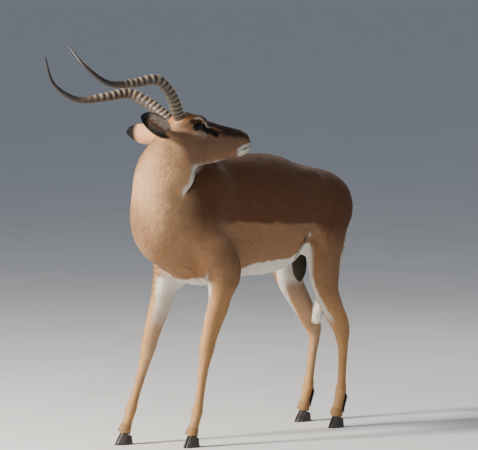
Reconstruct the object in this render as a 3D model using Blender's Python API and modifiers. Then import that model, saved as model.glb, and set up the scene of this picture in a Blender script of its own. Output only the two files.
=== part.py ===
"""An impala ram, life size, standing still and looking back over its left side.

The body is one smooth form made of swept ellipses and muscle ellipsoids that blend into each
other. It is meshed once, thinned to a faceted solid, and parted by thin cuts into head, neck,
trunk, tail and legs. Horns, ears, eyes and hooves are solids of their own, seated in the body.
The ram faces -X, its left side is -Y and the floor is z = 0. Units are metres.
"""
from math import cos, radians, sin

import bmesh
import bpy
import numpy as np
from mathutils import Matrix, Vector

NAME = "impala_ram"
LEFT, RIGHT = -1, 1
SIDES = {"left": LEFT, "right": RIGHT}

# Driving sizes
GAP = 0.0003             # clearance between neighbouring solids
CELL = 0.005             # size of the cells that the body is meshed in
BODY_TRIANGLES = 4700    # triangles left in the body before it is parted
EYE_RADIUS = 0.0175
EAR_LENGTH = 0.138
EAR_HALF_WIDTH = 0.032
EAR_THICKNESS = 0.0045
HORN_BASE_RADIUS = 0.0205
HORN_TIP_RADIUS = 0.0025
HORN_TAPER = 1.5         # above 1 the horn thins mostly towards its tip
HOOF_SLOPE = 0.35        # rise of the hoof's upper edge for each metre towards the toe
HOOF_TOP = 0.034         # height of that edge over the middle of the foot

# The head's own frame: x to the nose, y to the head's left, z up, from the back of the skull at
# the height of the mouth line. It is turned far to the left, nose up a little, left side low.
OCCIPUT = (-0.387, -0.037, 0.8645)
HEAD_YAW, HEAD_PITCH, HEAD_ROLL = 160.0, 9.5, 14.0
EYE_PLACE = (0.125, 0.0345, 0.088)
HORN_ROOT = (0.087, 0.025, 0.102)
HORN_LINE = [(0.070, 0.037, 0.141), (0.041, 0.077, 0.204), (-0.005, 0.103, 0.250), (-0.090, 0.105, 0.254),
             (-0.175, 0.120, 0.268), (-0.236, 0.122, 0.331), (-0.257, 0.086, 0.410)]
# Each ear's root, where it points and where its hollow faces, in the head's frame
EARS = {"left": ((0.030, 0.040, 0.088), (-0.045, 0.119, 0.053), (0.8, 0.5, 0.2)),
        "right": ((0.014, -0.041, 0.090), (-0.104, -0.069, 0.058), (-0.1, -1.0, 0.1))}


# ------------------------------------------------------------------------------- blended form

def unit(vector):
    vector = np.asarray(vector, float)
    return vector / np.linalg.norm(vector)


def smooth_curve(rows, steps):
    """A Catmull-Rom curve through rows of values, with the given steps in each span."""
    rows = np.asarray(rows, float)
    ends = np.vstack([2 * rows[0] - rows[1], rows, 2 * rows[-1] - rows[-2]])
    t = np.linspace(0, 1, steps, endpoint=False)[:, None]
    spans = []
    for a, b, c, d in zip(ends, ends[1:], ends[2:], ends[3:]):
        spans.append(0.5 * (2 * b + (c - a) * t + (2 * a - 5 * b + 4 * c - d) * t ** 2
                            + (3 * b - a - 3 * c + d) * t ** 3))
    return np.vstack(spans + [rows[-1:]])


class Sweep:
    """Ellipses of changing size along a curve, with domed ends.

    A station is (point, half width, half size up, half size down, side), where side is the
    direction of the width and up is the curve's direction crossed with it.
    """

    taken_away = False

    def __init__(self, stations, blend, power=2.0, caps=(None, None), steps=6):
        self.points = smooth_curve([s[0] for s in stations], steps)
        self.sizes = np.maximum(smooth_curve([s[1:4] for s in stations], steps), 1e-3)
        sides = smooth_curve([s[4] for s in stations], steps)
        self.along = np.gradient(self.points, axis=0)
        self.along /= np.linalg.norm(self.along, axis=1)[:, None]
        sides -= (sides * self.along).sum(1)[:, None] * self.along
        self.side = sides / np.linalg.norm(sides, axis=1)[:, None]
        self.up = np.cross(self.along, self.side)
        self.blend, self.power = blend, power
        self.caps = [cap or self.sizes[end].mean() for cap, end in zip(caps, (0, -1))]
        reach = self.sizes.max(1)[:, None]
        self.low = (self.points - reach).min(0) - 0.3 * max(self.caps)
        self.high = (self.points + reach).max(0) + 0.3 * max(self.caps)

    def nearest(self, p):
        """Where along the curve each point is nearest, counted in samples."""
        last = len(self.points) - 2
        closest = ((self.points ** 2).sum(1) - 2 * p @ self.points.T).argmin(1)
        best, place = np.full(len(p), np.inf), np.zeros(len(p))
        for step in (-1, 0):
            j = np.clip(closest + step, 0, last)
            start, span = self.points[j], self.points[j + 1] - self.points[j]
            t = np.clip(((p - start) * span).sum(1) / (span ** 2).sum(1), 0, 1)
            gap = ((p - start - t[:, None] * span) ** 2).sum(1)
            closer = gap < best
            best[closer], place[closer] = gap[closer], (j + t)[closer]
        return place

    def distance(self, p):
        place = self.nearest(p)
        i = np.minimum(place.astype(int), len(self.points) - 2)
        f = (place - i)[:, None]
        centre, side, up, along, size = (r[i] * (1 - f) + r[i + 1] * f for r in (
            self.points, self.side, self.up, self.along, self.sizes))
        a, b, e = (((p - centre) * axis).sum(1) for axis in (side, up, along))
        height = np.where(b > 0, size[:, 1], size[:, 2])
        first, last = place <= 0, place >= len(self.points) - 1
        cap = np.where(first, self.caps[0], np.where(last, self.caps[1], 1.0))
        e = np.where(first | last, e, 0.0)
        ring = ((np.abs(a) / size[:, 0]) ** self.power + (np.abs(b) / height) ** self.power) ** (1 / self.power)
        level = np.sqrt(ring ** 2 + (e / cap) ** 2) + 1e-9
        slope = np.sqrt((a / size[:, 0] ** 2) ** 2 + (b / height ** 2) ** 2 + (e / cap ** 2) ** 2) + 1e-9
        if self.power == 2.0:
            return level * (level - 1) / slope
        return np.sqrt(a * a + b * b + e * e) * (level - 1) / level


class Ball:
    """An ellipsoid: centre, three half sizes, and the directions of the first two."""

    taken_away = False

    def __init__(self, centre, sizes, blend, x_axis=(1, 0, 0), y_axis=(0, 1, 0)):
        self.centre, self.sizes, self.blend = np.array(centre, float), np.array(sizes, float), blend
        x_axis = unit(x_axis)
        y_axis = unit(np.array(y_axis, float) - np.dot(y_axis, x_axis) * x_axis)
        self.axes = np.array([x_axis, y_axis, np.cross(x_axis, y_axis)])
        reach = np.abs(self.axes.T) @ self.sizes
        self.low, self.high = self.centre - reach, self.centre + reach

    def distance(self, p):
        q = (p - self.centre) @ self.axes.T
        level = np.linalg.norm(q / self.sizes, axis=1) + 1e-9
        slope = np.linalg.norm(q / self.sizes ** 2, axis=1) + 1e-9
        return level * (level - 1) / slope


class Hollow(Ball):
    """A ball that is taken away instead of added."""

    taken_away = True


class Group:
    """Forms that blend with each other first and only then with the rest."""

    taken_away = False

    def __init__(self, forms, blend):
        self.forms, self.blend = forms, blend
        self.low = np.min([form.low for form in forms], axis=0)
        self.high = np.max([form.high for form in forms], axis=0)

    def distance(self, p):
        return field(self.forms, p)


def soft_min(a, b, blend):
    overlap = np.maximum(blend - np.abs(a - b), 0) / blend
    return np.minimum(a, b) - overlap ** 2 * blend / 4


def field(forms, p, reach=None):
    """Signed distance to the blended forms, or only near them when a reach is given."""
    d = np.full(len(p), 0.5)
    for form in forms:
        near = slice(None)
        if reach is not None:
            pad = form.blend + reach
            near = np.flatnonzero(((p > form.low - pad) & (p < form.high + pad)).all(1))
            if not len(near):
                continue
        sign = -1 if form.taken_away else 1
        d[near] = sign * soft_min(sign * d[near], form.distance(p[near]), form.blend)
    return d


def sampled(forms, cell, low, high, block=8):
    """The field on a grid of cells, worked out only in the blocks near the surface."""
    size = cell * block
    counts = np.ceil((np.array(high) - low) / size).astype(int)
    blocks = np.stack(np.meshgrid(*map(np.arange, counts), indexing="ij"), -1).reshape(-1, 3)
    coarse = field(forms, low + (blocks + 0.5) * size)
    grid = np.ones(counts * block + 1, np.float32)
    fill = np.where(coarse.reshape(counts) < 0, -1, 1)
    grid[:-1, :-1, :-1] = fill.repeat(block, 0).repeat(block, 1).repeat(block, 2)
    step = np.arange(block + 1)
    offsets = np.stack(np.meshgrid(step, step, step, indexing="ij"), -1).reshape(-1, 3)
    for part in np.array_split(blocks[np.abs(coarse) < 1.3 * size], 24):
        index = (part[:, None] * block + offsets).reshape(-1, 3)
        grid[tuple(index.T)] = field(forms, low + index * cell, size)
    for axis in range(3):      # a light blur keeps sharp folds from pinching
        ahead = np.swapaxes(grid, 0, axis)
        ahead[1:-1] = (ahead[:-2] + 2 * ahead[1:-1] + ahead[2:]) / 4
    fill_crossings(grid)
    return grid


def fill_crossings(grid, level=-1e-5):
    """Fill the squares whose corners alternate, where the surface would touch itself on an edge."""
    for axis in (0, 1, 2) * 3:
        layers = np.moveaxis(grid, axis, 0)
        inside = layers < 0
        near, far = inside[:, :-1, :-1], inside[:, 1:, :-1]
        alternate = (near == inside[:, 1:, 1:]) & (far == inside[:, :-1, 1:]) & (near != far)
        for i, j, k in np.argwhere(alternate):
            layers[i, j:j + 2, k:k + 2] = np.minimum(layers[i, j:j + 2, k:k + 2], level)


def surface(grid, low, cell):
    """Surface nets: a vertex in each cell that the surface crosses, a quad round each crossed edge."""
    inside = grid < 0
    corners = np.array(np.meshgrid((0, 1), (0, 1), (0, 1), indexing="ij")).reshape(3, -1).T
    span = np.array(grid.shape) - 1
    count = sum(inside[x:span[0] + x, y:span[1] + y, z:span[2] + z].astype(np.int8) for x, y, z in corners)
    cells = np.argwhere((count > 0) & (count < 8))
    number = np.full(span, -1)
    number[tuple(cells.T)] = np.arange(len(cells))
    total, hits, quads = np.zeros((len(cells), 3)), np.zeros(len(cells)), []
    for axis in range(3):
        ahead = np.eye(3, dtype=int)[axis]
        for corner in corners[corners[:, axis] == 0]:
            a = grid[tuple((cells + corner).T)].astype(float)
            b = grid[tuple((cells + corner + ahead).T)].astype(float)
            crossed = (a < 0) != (b < 0)
            t = np.where(crossed, a / np.where(crossed, a - b, 1), 0)
            total += (corner + t[:, None] * ahead) * crossed[:, None]
            hits += crossed
        u, v = (axis + 1) % 3, (axis + 2) % 3
        start, end = [slice(None)] * 3, [slice(None)] * 3
        start[axis], end[axis] = slice(0, -1), slice(1, None)
        edges = np.argwhere(inside[tuple(start)] != inside[tuple(end)])
        outward = inside[tuple(edges.T)]
        ring = []
        for back_u, back_v in ((1, 1), (0, 1), (0, 0), (1, 0)):
            cell_index = edges.copy()
            cell_index[:, u] -= back_u
            cell_index[:, v] -= back_v
            ring.append(number[tuple(cell_index.T)])
        ring = np.stack(ring, 1)
        ring[~outward] = ring[~outward, ::-1]
        quads.append(ring)
    return low + (cells + total / hits[:, None]) * cell, np.vstack(quads)


# ------------------------------------------------------------------------------------ anatomy

def head_axes():
    """The head's forward, left and up directions."""
    yaw, pitch, roll = map(radians, (HEAD_YAW, HEAD_PITCH, HEAD_ROLL))
    forward = np.array([-cos(yaw) * cos(pitch), -sin(yaw) * cos(pitch), sin(pitch)])
    level_left = unit(np.cross((0, 0, 1), forward))
    left = cos(roll) * level_left - sin(roll) * np.cross(forward, level_left)
    return np.array([forward, left, np.cross(forward, left)])


HEAD = head_axes()


def on_head(x, y, z):
    return np.array(OCCIPUT) + np.array([x, y, z]) @ HEAD


def along_head(x, y, z):
    return np.array([x, y, z], float) @ HEAD


def across(rows, offset=0.0):
    """Stations in a plane of constant y from rows of x, z, half width, up and down."""
    return [((x, offset, z), w, u, d, (0, 1, 0)) for x, z, w, u, d in rows]


def trunk_forms():
    barrel = [(-.350, .700, .050, .085, .120), (-.290, .690, .078, .140, .170), (-.210, .685, .090, .188, .200),
              (-.100, .680, .110, .203, .200), (.000, .680, .127, .203, .180), (.100, .680, .134, .203, .182),
              (.190, .682, .131, .188, .160), (.270, .692, .115, .157, .120), (.350, .700, .095, .127, .085),
              (.415, .700, .075, .100, .075), (.447, .695, .056, .080, .060)]
    forms = [Sweep(across(barrel), blend=.05, power=2.3, caps=(None, .020)),
             Ball((-.372, 0, .672), (.080, .080, .110), .06, x_axis=(.9, 0, .3))]
    for side in (LEFT, RIGHT):
        forms.append(Ball((-.215, side * .073, .728), (.062, .034, .105), .05, x_axis=(.94, 0, -.35)))
        upper_arm = [((-.262, side * .088, .668), .030, .045, .045), ((-.255, side * .098, .625), .034, .046, .046),
                     ((-.190, side * .104, .560), .034, .052, .052), ((-.180, side * .102, .510), .033, .046, .050)]
        forms.append(Sweep([s + ((0, 1, 0),) for s in upper_arm], blend=.05))
        forms.append(Ball((.345, side * .060, .712), (.124, .058, .095), .05, x_axis=(1, 0, -.25)))
    return forms


def neck_forms():
    """The neck turns about its own length: its throat side faces forward, then left, then back."""
    rows = [((-.215, 0, .745), .085, .135, .170, 0), ((-.300, 0, .720), .088, .130, .150, 5),
            ((-.358, 0, .740), .084, .110, .118, 20), ((-.384, -.004, .790), .076, .090, .092, 60),
            ((-.385, -.016, .842), .068, .080, .082, 100), ((-.384, -.030, .885), .056, .068, .066, 135),
            (tuple(on_head(.03, 0, .05)), .046, .050, .060, 160)]
    stations = [(p, w, u, d, (sin(radians(turn)), -cos(radians(turn)), 0)) for p, w, u, d, turn in rows]
    throat = Ball((-.352, -.078, .842), (.042, .030, .055), .035, x_axis=(.94, -.34, 0), y_axis=(.34, .94, 0))
    return [Sweep(stations, blend=.05, power=2.1, steps=9), throat]


def head_forms():
    forward, left = along_head(1, 0, 0), along_head(0, 1, 0)
    rows = [(.010, .058, .040, .036, .040), (.045, .056, .051, .062, .066), (.085, .050, .053, .078, .074),
            (.120, .046, .048, .081, .072), (.150, .040, .039, .074, .066), (.185, .032, .031, .066, .058),
            (.220, .026, .026, .056, .048), (.255, .020, .0245, .047, .043), (.280, .018, .0225, .040, .036),
            (.293, .018, .0185, .032, .027)]
    skull = [(tuple(on_head(x, 0, z)), w, u, d, left) for x, z, w, u, d in rows]
    forms = [Sweep(skull, blend=.03, power=2.2, caps=(.03, .012), steps=7),
             Ball(on_head(.090, 0, .120), (.034, .046, .030), .03, forward, left)]
    for side in (LEFT, RIGHT):
        forms.append(Ball(on_head(.125, side * .036, .106), (.034, .0165, .019), .025, forward, left))
        forms.append(Ball(on_head(.075, side * .032, .020), (.050, .018, .045), .03, forward, left))
    return [Group(forms, blend=.022)]


# Half width, back and front of a leg, from its top to the pastern
FORELEG = [(.036, .050, .053), (.034, .045, .044), (.029, .041, .040), (.025, .035, .036), (.022, .0285, .0285),
           (.0225, .026, .0275), (.020, .022, .022), (.015, .018, .018), (.0135, .016, .016), (.014, .016, .016),
           (.0175, .020, .018), (.015, .0165, .0165), (.019, .020, .020)]
HINDLEG = [(.050, .100, .102), (.052, .088, .086), (.046, .065, .068), (.037, .056, .056), (.030, .047, .047),
           (.0235, .042, .041), (.0205, .040, .035), (.0205, .034, .028), (.0175, .022, .020), (.015, .0165, .0165),
           (.014, .015, .015), (.0185, .020, .018), (.016, .0175, .0175), (.0195, .0205, .0205)]
# Where each leg's centre line runs: x and z, at the same stations
LEG_LINES = {
    "foreleg_left": [(-.185, .530), (-.200, .490), (-.212, .435), (-.236, .383), (-.258, .331), (-.268, .298),
                     (-.275, .272), (-.283, .238), (-.295, .180), (-.305, .135), (-.313, .108), (-.322, .078),
                     (-.336, .048)],
    "foreleg_right": [(-.222, .530), (-.237, .480), (-.253, .427), (-.276, .378), (-.296, .328), (-.309, .296),
                      (-.319, .268), (-.333, .232), (-.356, .180), (-.377, .135), (-.390, .108), (-.402, .078),
                      (-.418, .048)],
    "hindleg_left": [(.335, .680), (.318, .600), (.305, .535), (.306, .470), (.320, .425), (.352, .370),
                     (.378, .330), (.388, .300), (.393, .265), (.394, .225), (.389, .150), (.384, .115),
                     (.376, .080), (.364, .048)],
    "hindleg_right": [(.345, .680), (.343, .600), (.340, .535), (.352, .475), (.378, .433), (.412, .388),
                      (.446, .340), (.474, .300), (.478, .265), (.471, .225), (.457, .150), (.449, .115),
                      (.439, .080), (.426, .048)]}
LEG_OFFSET = {"foreleg": [.102], "hindleg": [.060, .078, .090, .095]}
# From a leg's elbow or mid thigh to the middle of the cut that parts it from the trunk
TOP_SHIFT = {"foreleg_left": (.004, 0, -.005), "foreleg_right": (.024, 0, -.005),
             "hindleg_left": (.029, .008, .035), "hindleg_right": (.010, -.008, .030)}
FOOT_TURN = {"foreleg": 8.0, "hindleg": 5.0}     # how far the toes point outwards, in degrees


def leg_place(leg, index):
    """The point of a leg's centre line at a station."""
    kind, side = leg.split("_")
    offsets = LEG_OFFSET[kind]
    x, z = LEG_LINES[leg][index]
    index %= len(LEG_LINES[leg])
    return np.array([x, SIDES[side] * offsets[min(index, len(offsets) - 1)], z])


def leg_forms():
    forms = []
    for leg in LEG_LINES:
        sizes = FORELEG if leg.startswith("fore") else HINDLEG
        stations = [(tuple(leg_place(leg, i)), *size, (0, 1, 0)) for i, size in enumerate(sizes)]
        forms.append(Sweep(stations, blend=.04))
    # the hollow in front of each thigh, under the flank
    forms += [Hollow((.228, side * .095, .545), (.024, .050, .075), .035, x_axis=(.97, 0, -.25)) for side in (-1, 1)]
    return forms


TAIL = [((.450, 0, .775), .020), ((.496, 0, .738), .018), ((.515, .002, .640), .015), ((.505, .010, .540), .017),
        ((.478, .026, .465), .024), ((.450, .040, .400), .028), ((.434, .047, .330), .010)]
SCROTUM = Ball((.292, 0, .520), (.025, .026, .056), .015)


def tail_forms():
    stations = [(place, .85 * radius, radius, radius, (0, 1, 0)) for place, radius in TAIL]
    return [Sweep(stations, blend=.012, caps=(None, .012))]


def body_forms():
    return trunk_forms() + neck_forms() + head_forms() + leg_forms() + tail_forms() + [SCROTUM]


# ------------------------------------------------------------------------------------- pieces

def collection(name):
    group = bpy.data.collections.new(name)
    bpy.context.scene.collection.children.link(group)
    return group


def add_object(name, mesh, group):
    piece = bpy.data.objects.new(name, mesh)
    group.objects.link(piece)
    return piece


def material(name, colour, roughness):
    finish = bpy.data.materials.new(name)
    finish.use_nodes = True
    shader = finish.node_tree.nodes["Principled BSDF"]
    shader.inputs["Base Color"].default_value = (*colour, 1.0)
    shader.inputs["Roughness"].default_value = roughness
    shader.inputs["Metallic"].default_value = 0.0
    return finish


COLOURS = {"head": ((.42, .22, .11), .8), "neck": ((.48, .27, .14), .8), "trunk": ((.33, .14, .07), .8),
           "tail": ((.75, .68, .58), .85), "scrotum": ((.05, .04, .04), .7), "foreleg": ((.46, .26, .14), .8),
           "hindleg": ((.42, .22, .12), .8), "ear": ((.50, .32, .18), .8), "horn": ((.10, .08, .06), .45),
           "eye": ((.02, .012, .01), .08), "hoof": ((.035, .03, .028), .35)}


def paint(piece):
    colour, roughness = COLOURS[piece.name.split("_")[0]]
    piece.data.materials.clear()
    piece.data.materials.append(material(piece.name + "_finish", colour, roughness))


def evaluated_mesh(piece):
    return bpy.data.meshes.new_from_object(piece.evaluated_get(bpy.context.evaluated_depsgraph_get()))


def settle(piece):
    """Replace a piece by the mesh that its modifiers make."""
    mesh = evaluated_mesh(piece)
    piece.modifiers.clear()
    piece.data = mesh


def cut(piece, cutter):
    """Take a cutter away from a piece."""
    cutter.hide_render = True
    cutter.display_type = "WIRE"
    boolean = piece.modifiers.new("cut", "BOOLEAN")
    boolean.operation = "DIFFERENCE"
    boolean.solver = "EXACT"
    boolean.object = cutter
    settle(piece)


def seat(body, piece, cutters):
    """Cut a socket in the body that clears the piece all round."""
    cutter = add_object(piece.name + "_socket", evaluated_mesh(piece), cutters)
    swell = cutter.modifiers.new("swell", "DISPLACE")
    swell.mid_level = 0.0
    swell.strength = 2 * GAP
    settle(cutter)
    cut(body, cutter)


def make_body(group):
    low, high = np.array([-.56, -.26, -.01]), np.array([.56, .20, 1.10])
    grid = sampled(body_forms(), CELL, low, high)
    points, quads = surface(grid, low, CELL)
    mesh = bpy.data.meshes.new("body")
    mesh.from_pydata(points.tolist(), [], quads.tolist())
    body = add_object("body", mesh, group)
    thin = body.modifiers.new("thin", "DECIMATE")
    thin.ratio = BODY_TRIANGLES / (2 * len(quads))
    settle(body)
    return body


def disc(name, place, normal, across_axis, half_sizes, cutters):
    """A thin oval cutter: its place, normal, one direction in its plane and half sizes there."""
    normal = Vector(normal).normalized()
    first = Vector(across_axis)
    first = (first - first.dot(normal) * normal).normalized()
    bpy.ops.mesh.primitive_cylinder_add(vertices=16, radius=1.0, depth=2.0)
    cutter = bpy.context.active_object
    for owner in list(cutter.users_collection):
        owner.objects.unlink(cutter)
    cutters.objects.link(cutter)
    cutter.name = name
    scale = Matrix.Diagonal((*half_sizes, GAP / 2, 1.0))
    turn = Matrix((first, normal.cross(first), normal)).transposed().to_4x4()
    cutter.data.transform(Matrix.Translation(Vector(place)) @ turn @ scale)
    return cutter


def parting_planes():
    """Where the body is parted: place, normal, a direction in the plane and the half sizes there."""
    planes = {"head": (on_head(.041, 0, .029), along_head(.84, 0, .54), along_head(0, 1, 0), (.075, .097)),
              "neck": ((-.333, 0, .756), (-.75, 0, .66), (0, 1, 0), (.113, .197)),
              "tail": ((.510, 0, .694), (.15, 0, -1), (0, 1, 0), (.030, .028)),
              "scrotum": ((.291, 0, .542), (0, 0, 1), (1, 0, 0), (.030, .030))}
    elbow, knee, thigh, hock = 0, 5, 2, 7
    for name, side in SIDES.items():
        fore, hind = "foreleg_" + name, "hindleg_" + name
        planes[fore + "_top"] = (leg_place(fore, elbow) + TOP_SHIFT[fore], (-.1, -.9 * side, 1), (1, 0, 0),
                                 (.096, .078))
        planes[fore + "_knee"] = (leg_place(fore, knee), (-.25, 0, 1), (1, 0, 0), (.045, .040))
        planes[hind + "_top"] = (leg_place(hind, thigh) + TOP_SHIFT[hind], (-.28, 0, 1), (1, 0, 0), (.096, .066))
        planes[hind + "_hock"] = (leg_place(hind, hock), (.1, 0, 1), (1, 0, 0), (.055, .038))
    return planes


def pieces_of(body, seeds, group):
    """Split a parted body into its loose pieces, each named by the seed point nearest to it."""
    source = bmesh.new()
    source.from_mesh(body.data)
    source.verts.ensure_lookup_table()
    labels = np.full(len(source.verts), -1)
    count = 0
    for vert in source.verts:
        if labels[vert.index] >= 0:
            continue
        queue = [vert]
        labels[vert.index] = count
        while queue:
            for edge in queue.pop().link_edges:
                for other in edge.verts:
                    if labels[other.index] < 0:
                        labels[other.index] = count
                        queue.append(other)
        count += 1
    points = np.array([v.co for v in source.verts])
    for name, seed in seeds.items():
        label = labels[np.linalg.norm(points - np.array(seed), axis=1).argmin()]
        part = source.copy()
        part.verts.ensure_lookup_table()
        bmesh.ops.delete(part, geom=[v for v in part.verts if labels[v.index] != label], context="VERTS")
        mesh = bpy.data.meshes.new(name)
        part.to_mesh(mesh)
        part.free()
        add_object(name, mesh, group)
    source.free()
    bpy.data.objects.remove(body)


def make_eye(name, side, group):
    bpy.ops.mesh.primitive_uv_sphere_add(segments=14, ring_count=9, radius=EYE_RADIUS)
    eye = bpy.context.active_object
    for owner in list(eye.users_collection):
        owner.objects.unlink(eye)
    group.objects.link(eye)
    eye.name = f"eye_{name}"
    x, y, z = EYE_PLACE
    eye.data.transform(Matrix.Translation(Vector(on_head(x, -side * y, z))))
    eye.data.shade_smooth()
    return eye


def make_horn(name, side, group):
    """A curve with a bevel that tapers to the tip, turned into a mesh with its caps welded."""
    line = smooth_curve([HORN_ROOT] + HORN_LINE, 4)
    curve = bpy.data.curves.new("horn", "CURVE")
    curve.dimensions = "3D"
    curve.bevel_depth = HORN_BASE_RADIUS
    curve.bevel_resolution = 3
    curve.use_fill_caps = True
    spline = curve.splines.new("POLY")
    spline.points.add(len(line) - 1)
    slender = 1 - HORN_TIP_RADIUS / HORN_BASE_RADIUS
    for i, (x, y, z) in enumerate(line):
        spline.points[i].co = (*on_head(x, -side * y, z), 1.0)
        spline.points[i].radius = 1 - slender * (i / (len(line) - 1)) ** HORN_TAPER
    tube = add_object("horn_curve", curve, group)
    mesh = evaluated_mesh(tube)
    bpy.data.objects.remove(tube)
    shell = bmesh.new()
    shell.from_mesh(mesh)
    bmesh.ops.remove_doubles(shell, verts=shell.verts, dist=0.00005)
    bmesh.ops.recalc_face_normals(shell, faces=shell.faces)
    shell.to_mesh(mesh)
    shell.free()
    mesh.shade_smooth()
    return add_object(f"horn_{name}", mesh, group)


def ear_point(s, turn, side):
    """A point of the ear's sheet in its own frame: along, across, and out of its hollow."""
    half_width = EAR_HALF_WIDTH * max(0.04, (4 * (.07 + .92 * s) * (.93 - .92 * s)) ** 0.6)
    curl = radians(165 - 115 * s ** 0.8) / 2
    radius = half_width / sin(min(curl, radians(90)))
    angle = turn * curl
    return EAR_LENGTH * s, side * radius * sin(angle), radius * (1 - cos(angle)) - 0.004 * sin(3.0 * s)


def make_ear(name, side, group, rows=9, columns=6):
    """A leaf-shaped sheet, curled into a funnel at its root, with a real thickness."""
    root, tip, hollow = EARS[name]
    along = unit(along_head(*tip))
    out = along_head(*hollow)
    out = unit(out - (out @ along) * along)
    width = np.cross(out, along)
    root = on_head(*root)
    points = []
    for i in range(rows + 1):
        for j in range(columns + 1):
            a, b, c = ear_point(i / rows, 2 * j / columns - 1, side)
            points.append(root + a * along + b * width + c * out)
    step = columns + 1
    quads = [(i * step + j, i * step + j + 1, (i + 1) * step + j + 1, (i + 1) * step + j)
             for i in range(rows) for j in range(columns)]
    mesh = bpy.data.meshes.new("ear")
    mesh.from_pydata([tuple(p) for p in points], [], quads)
    ear = add_object(f"ear_{name}", mesh, group)
    shell = ear.modifiers.new("thickness", "SOLIDIFY")
    shell.thickness = EAR_THICKNESS
    shell.offset = 0.0
    settle(ear)
    fix = bmesh.new()
    fix.from_mesh(ear.data)
    bmesh.ops.recalc_face_normals(fix, faces=fix.faces)
    fix.to_mesh(ear.data)
    fix.free()
    ear.data.shade_smooth()
    return ear


# One claw's sole, x to the toe and y outwards, and how its upper edge draws in
CLAW = [(.034, .0035), (.027, .0115), (.011, .0190), (-.009, .0212), (-.021, .0185), (-.027, .0110),
        (-.025, .0032), (-.009, .0016), (.012, .0016), (.028, .0014)]
CLAW_TOP_LENGTH, CLAW_TOP_WIDTH, CLAW_TOP_SHIFT = 0.56, 0.82, -0.0085


def foot_frame(leg):
    """The middle of a foot on the floor, its toe direction and its outward direction."""
    kind, side = leg.split("_")
    place = leg_place(leg, -1) - leg_place(leg, -2)
    centre = leg_place(leg, -1) + 0.35 * place
    turn = radians(FOOT_TURN[kind])
    toe = np.array([-cos(turn), SIDES[side] * sin(turn), 0])
    outward = np.array([0, SIDES[side], 0])
    return np.array([centre[0], centre[1], 0]), toe, unit(outward - (outward @ toe) * toe)


def claw_top(x):
    return HOOF_TOP + HOOF_SLOPE * x


def make_claw(leg, name, across_sign, group):
    centre, toe, outward = foot_frame(leg)
    rings = []
    for level in (0, 1):
        for x, y in CLAW:
            if level:
                x, y = CLAW_TOP_LENGTH * x + CLAW_TOP_SHIFT, CLAW_TOP_WIDTH * y
            height = level * claw_top(x)
            rings.append(centre + x * toe + across_sign * y * outward + np.array([0, 0, height]))
    n = len(CLAW)
    shell = bmesh.new()
    verts = [shell.verts.new(p) for p in rings]
    shell.faces.new(verts[:n])
    shell.faces.new(verts[n:])
    for i in range(n):
        j = (i + 1) % n
        shell.faces.new((verts[i], verts[j], verts[n + j], verts[n + i]))
    bmesh.ops.recalc_face_normals(shell, faces=shell.faces)
    mesh = bpy.data.meshes.new(name)
    shell.to_mesh(mesh)
    shell.free()
    return add_object(name, mesh, group)


def trim_foot(body, leg, cutters):
    """End a pastern on the plane of the claws' upper edge, a gap above them."""
    centre, toe, outward = foot_frame(leg)
    half, depth = 0.05, 0.06
    normal = unit(np.array([0, 0, 1]) - HOOF_SLOPE * toe)
    first = unit(toe + HOOF_SLOPE * np.array([0, 0, 1]))
    second = np.cross(normal, first)
    top = centre + np.array([0, 0, HOOF_TOP + GAP * 1.2])
    shell = bmesh.new()
    bmesh.ops.create_cube(shell, size=2.0)
    turn = Matrix((first, second, normal)).transposed().to_4x4()
    middle = Vector(top - normal * depth)
    bmesh.ops.transform(shell, verts=shell.verts, matrix=Matrix.Translation(middle) @ turn
                        @ Matrix.Diagonal((half, half, depth, 1.0)))
    mesh = bpy.data.meshes.new(leg + "_foot")
    shell.to_mesh(mesh)
    shell.free()
    cut(body, add_object(leg + "_foot", mesh, cutters))


def seed_points():
    """A point inside each part of the body, to name it by."""
    seeds = {"head": on_head(.18, 0, .03), "neck": (-.384, -.010, .815), "trunk": (.05, 0, .68),
             "tail": TAIL[3][0], "scrotum": (.292, 0, .50)}
    for leg in LEG_LINES:
        seeds[leg + "_upper"] = leg_place(leg, 2 if leg.startswith("fore") else 4)
        seeds[leg + "_lower"] = leg_place(leg, -5)
    return seeds


def stand_on_origin(group):
    """Move everything so that the middle of the box is over the origin and the soles are at z = 0."""
    corners = np.vstack([[v.co for v in piece.data.vertices] for piece in group.objects])
    low, high = corners.min(0), corners.max(0)
    shift = Matrix.Translation((-(low[0] + high[0]) / 2, -(low[1] + high[1]) / 2, -low[2]))
    for piece in group.objects:
        piece.data.transform(shift)


def main():
    for piece in list(bpy.data.objects):
        bpy.data.objects.remove(piece)
    group, cutters = collection(NAME), collection(NAME + "_cutters")
    body = make_body(group)
    for name, side in SIDES.items():
        for piece in (make_horn(name, side, group), make_eye(name, side, group), make_ear(name, side, group)):
            seat(body, piece, cutters)
    for leg in LEG_LINES:
        trim_foot(body, leg, cutters)
        for inner_outer, sign in (("outer", 1), ("inner", -1)):
            kind, side = leg.split("_")
            make_claw(leg, f"hoof_{kind[:4]}_{side}_{inner_outer}", sign, group)
    for name, plane in parting_planes().items():
        cut(body, disc(name + "_cut", *plane, cutters))
    pieces_of(body, seed_points(), group)
    stand_on_origin(group)
    for piece in group.objects:
        paint(piece)
    cutters.hide_viewport = True


main()
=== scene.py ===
"""Looks of the impala ram: one skin with its markings, a short coat, ringed horns, eyes and hooves."""

from math import cos, pi, radians, sin

import bmesh
import bpy
import numpy as np
from mathutils import Matrix, Vector


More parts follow.
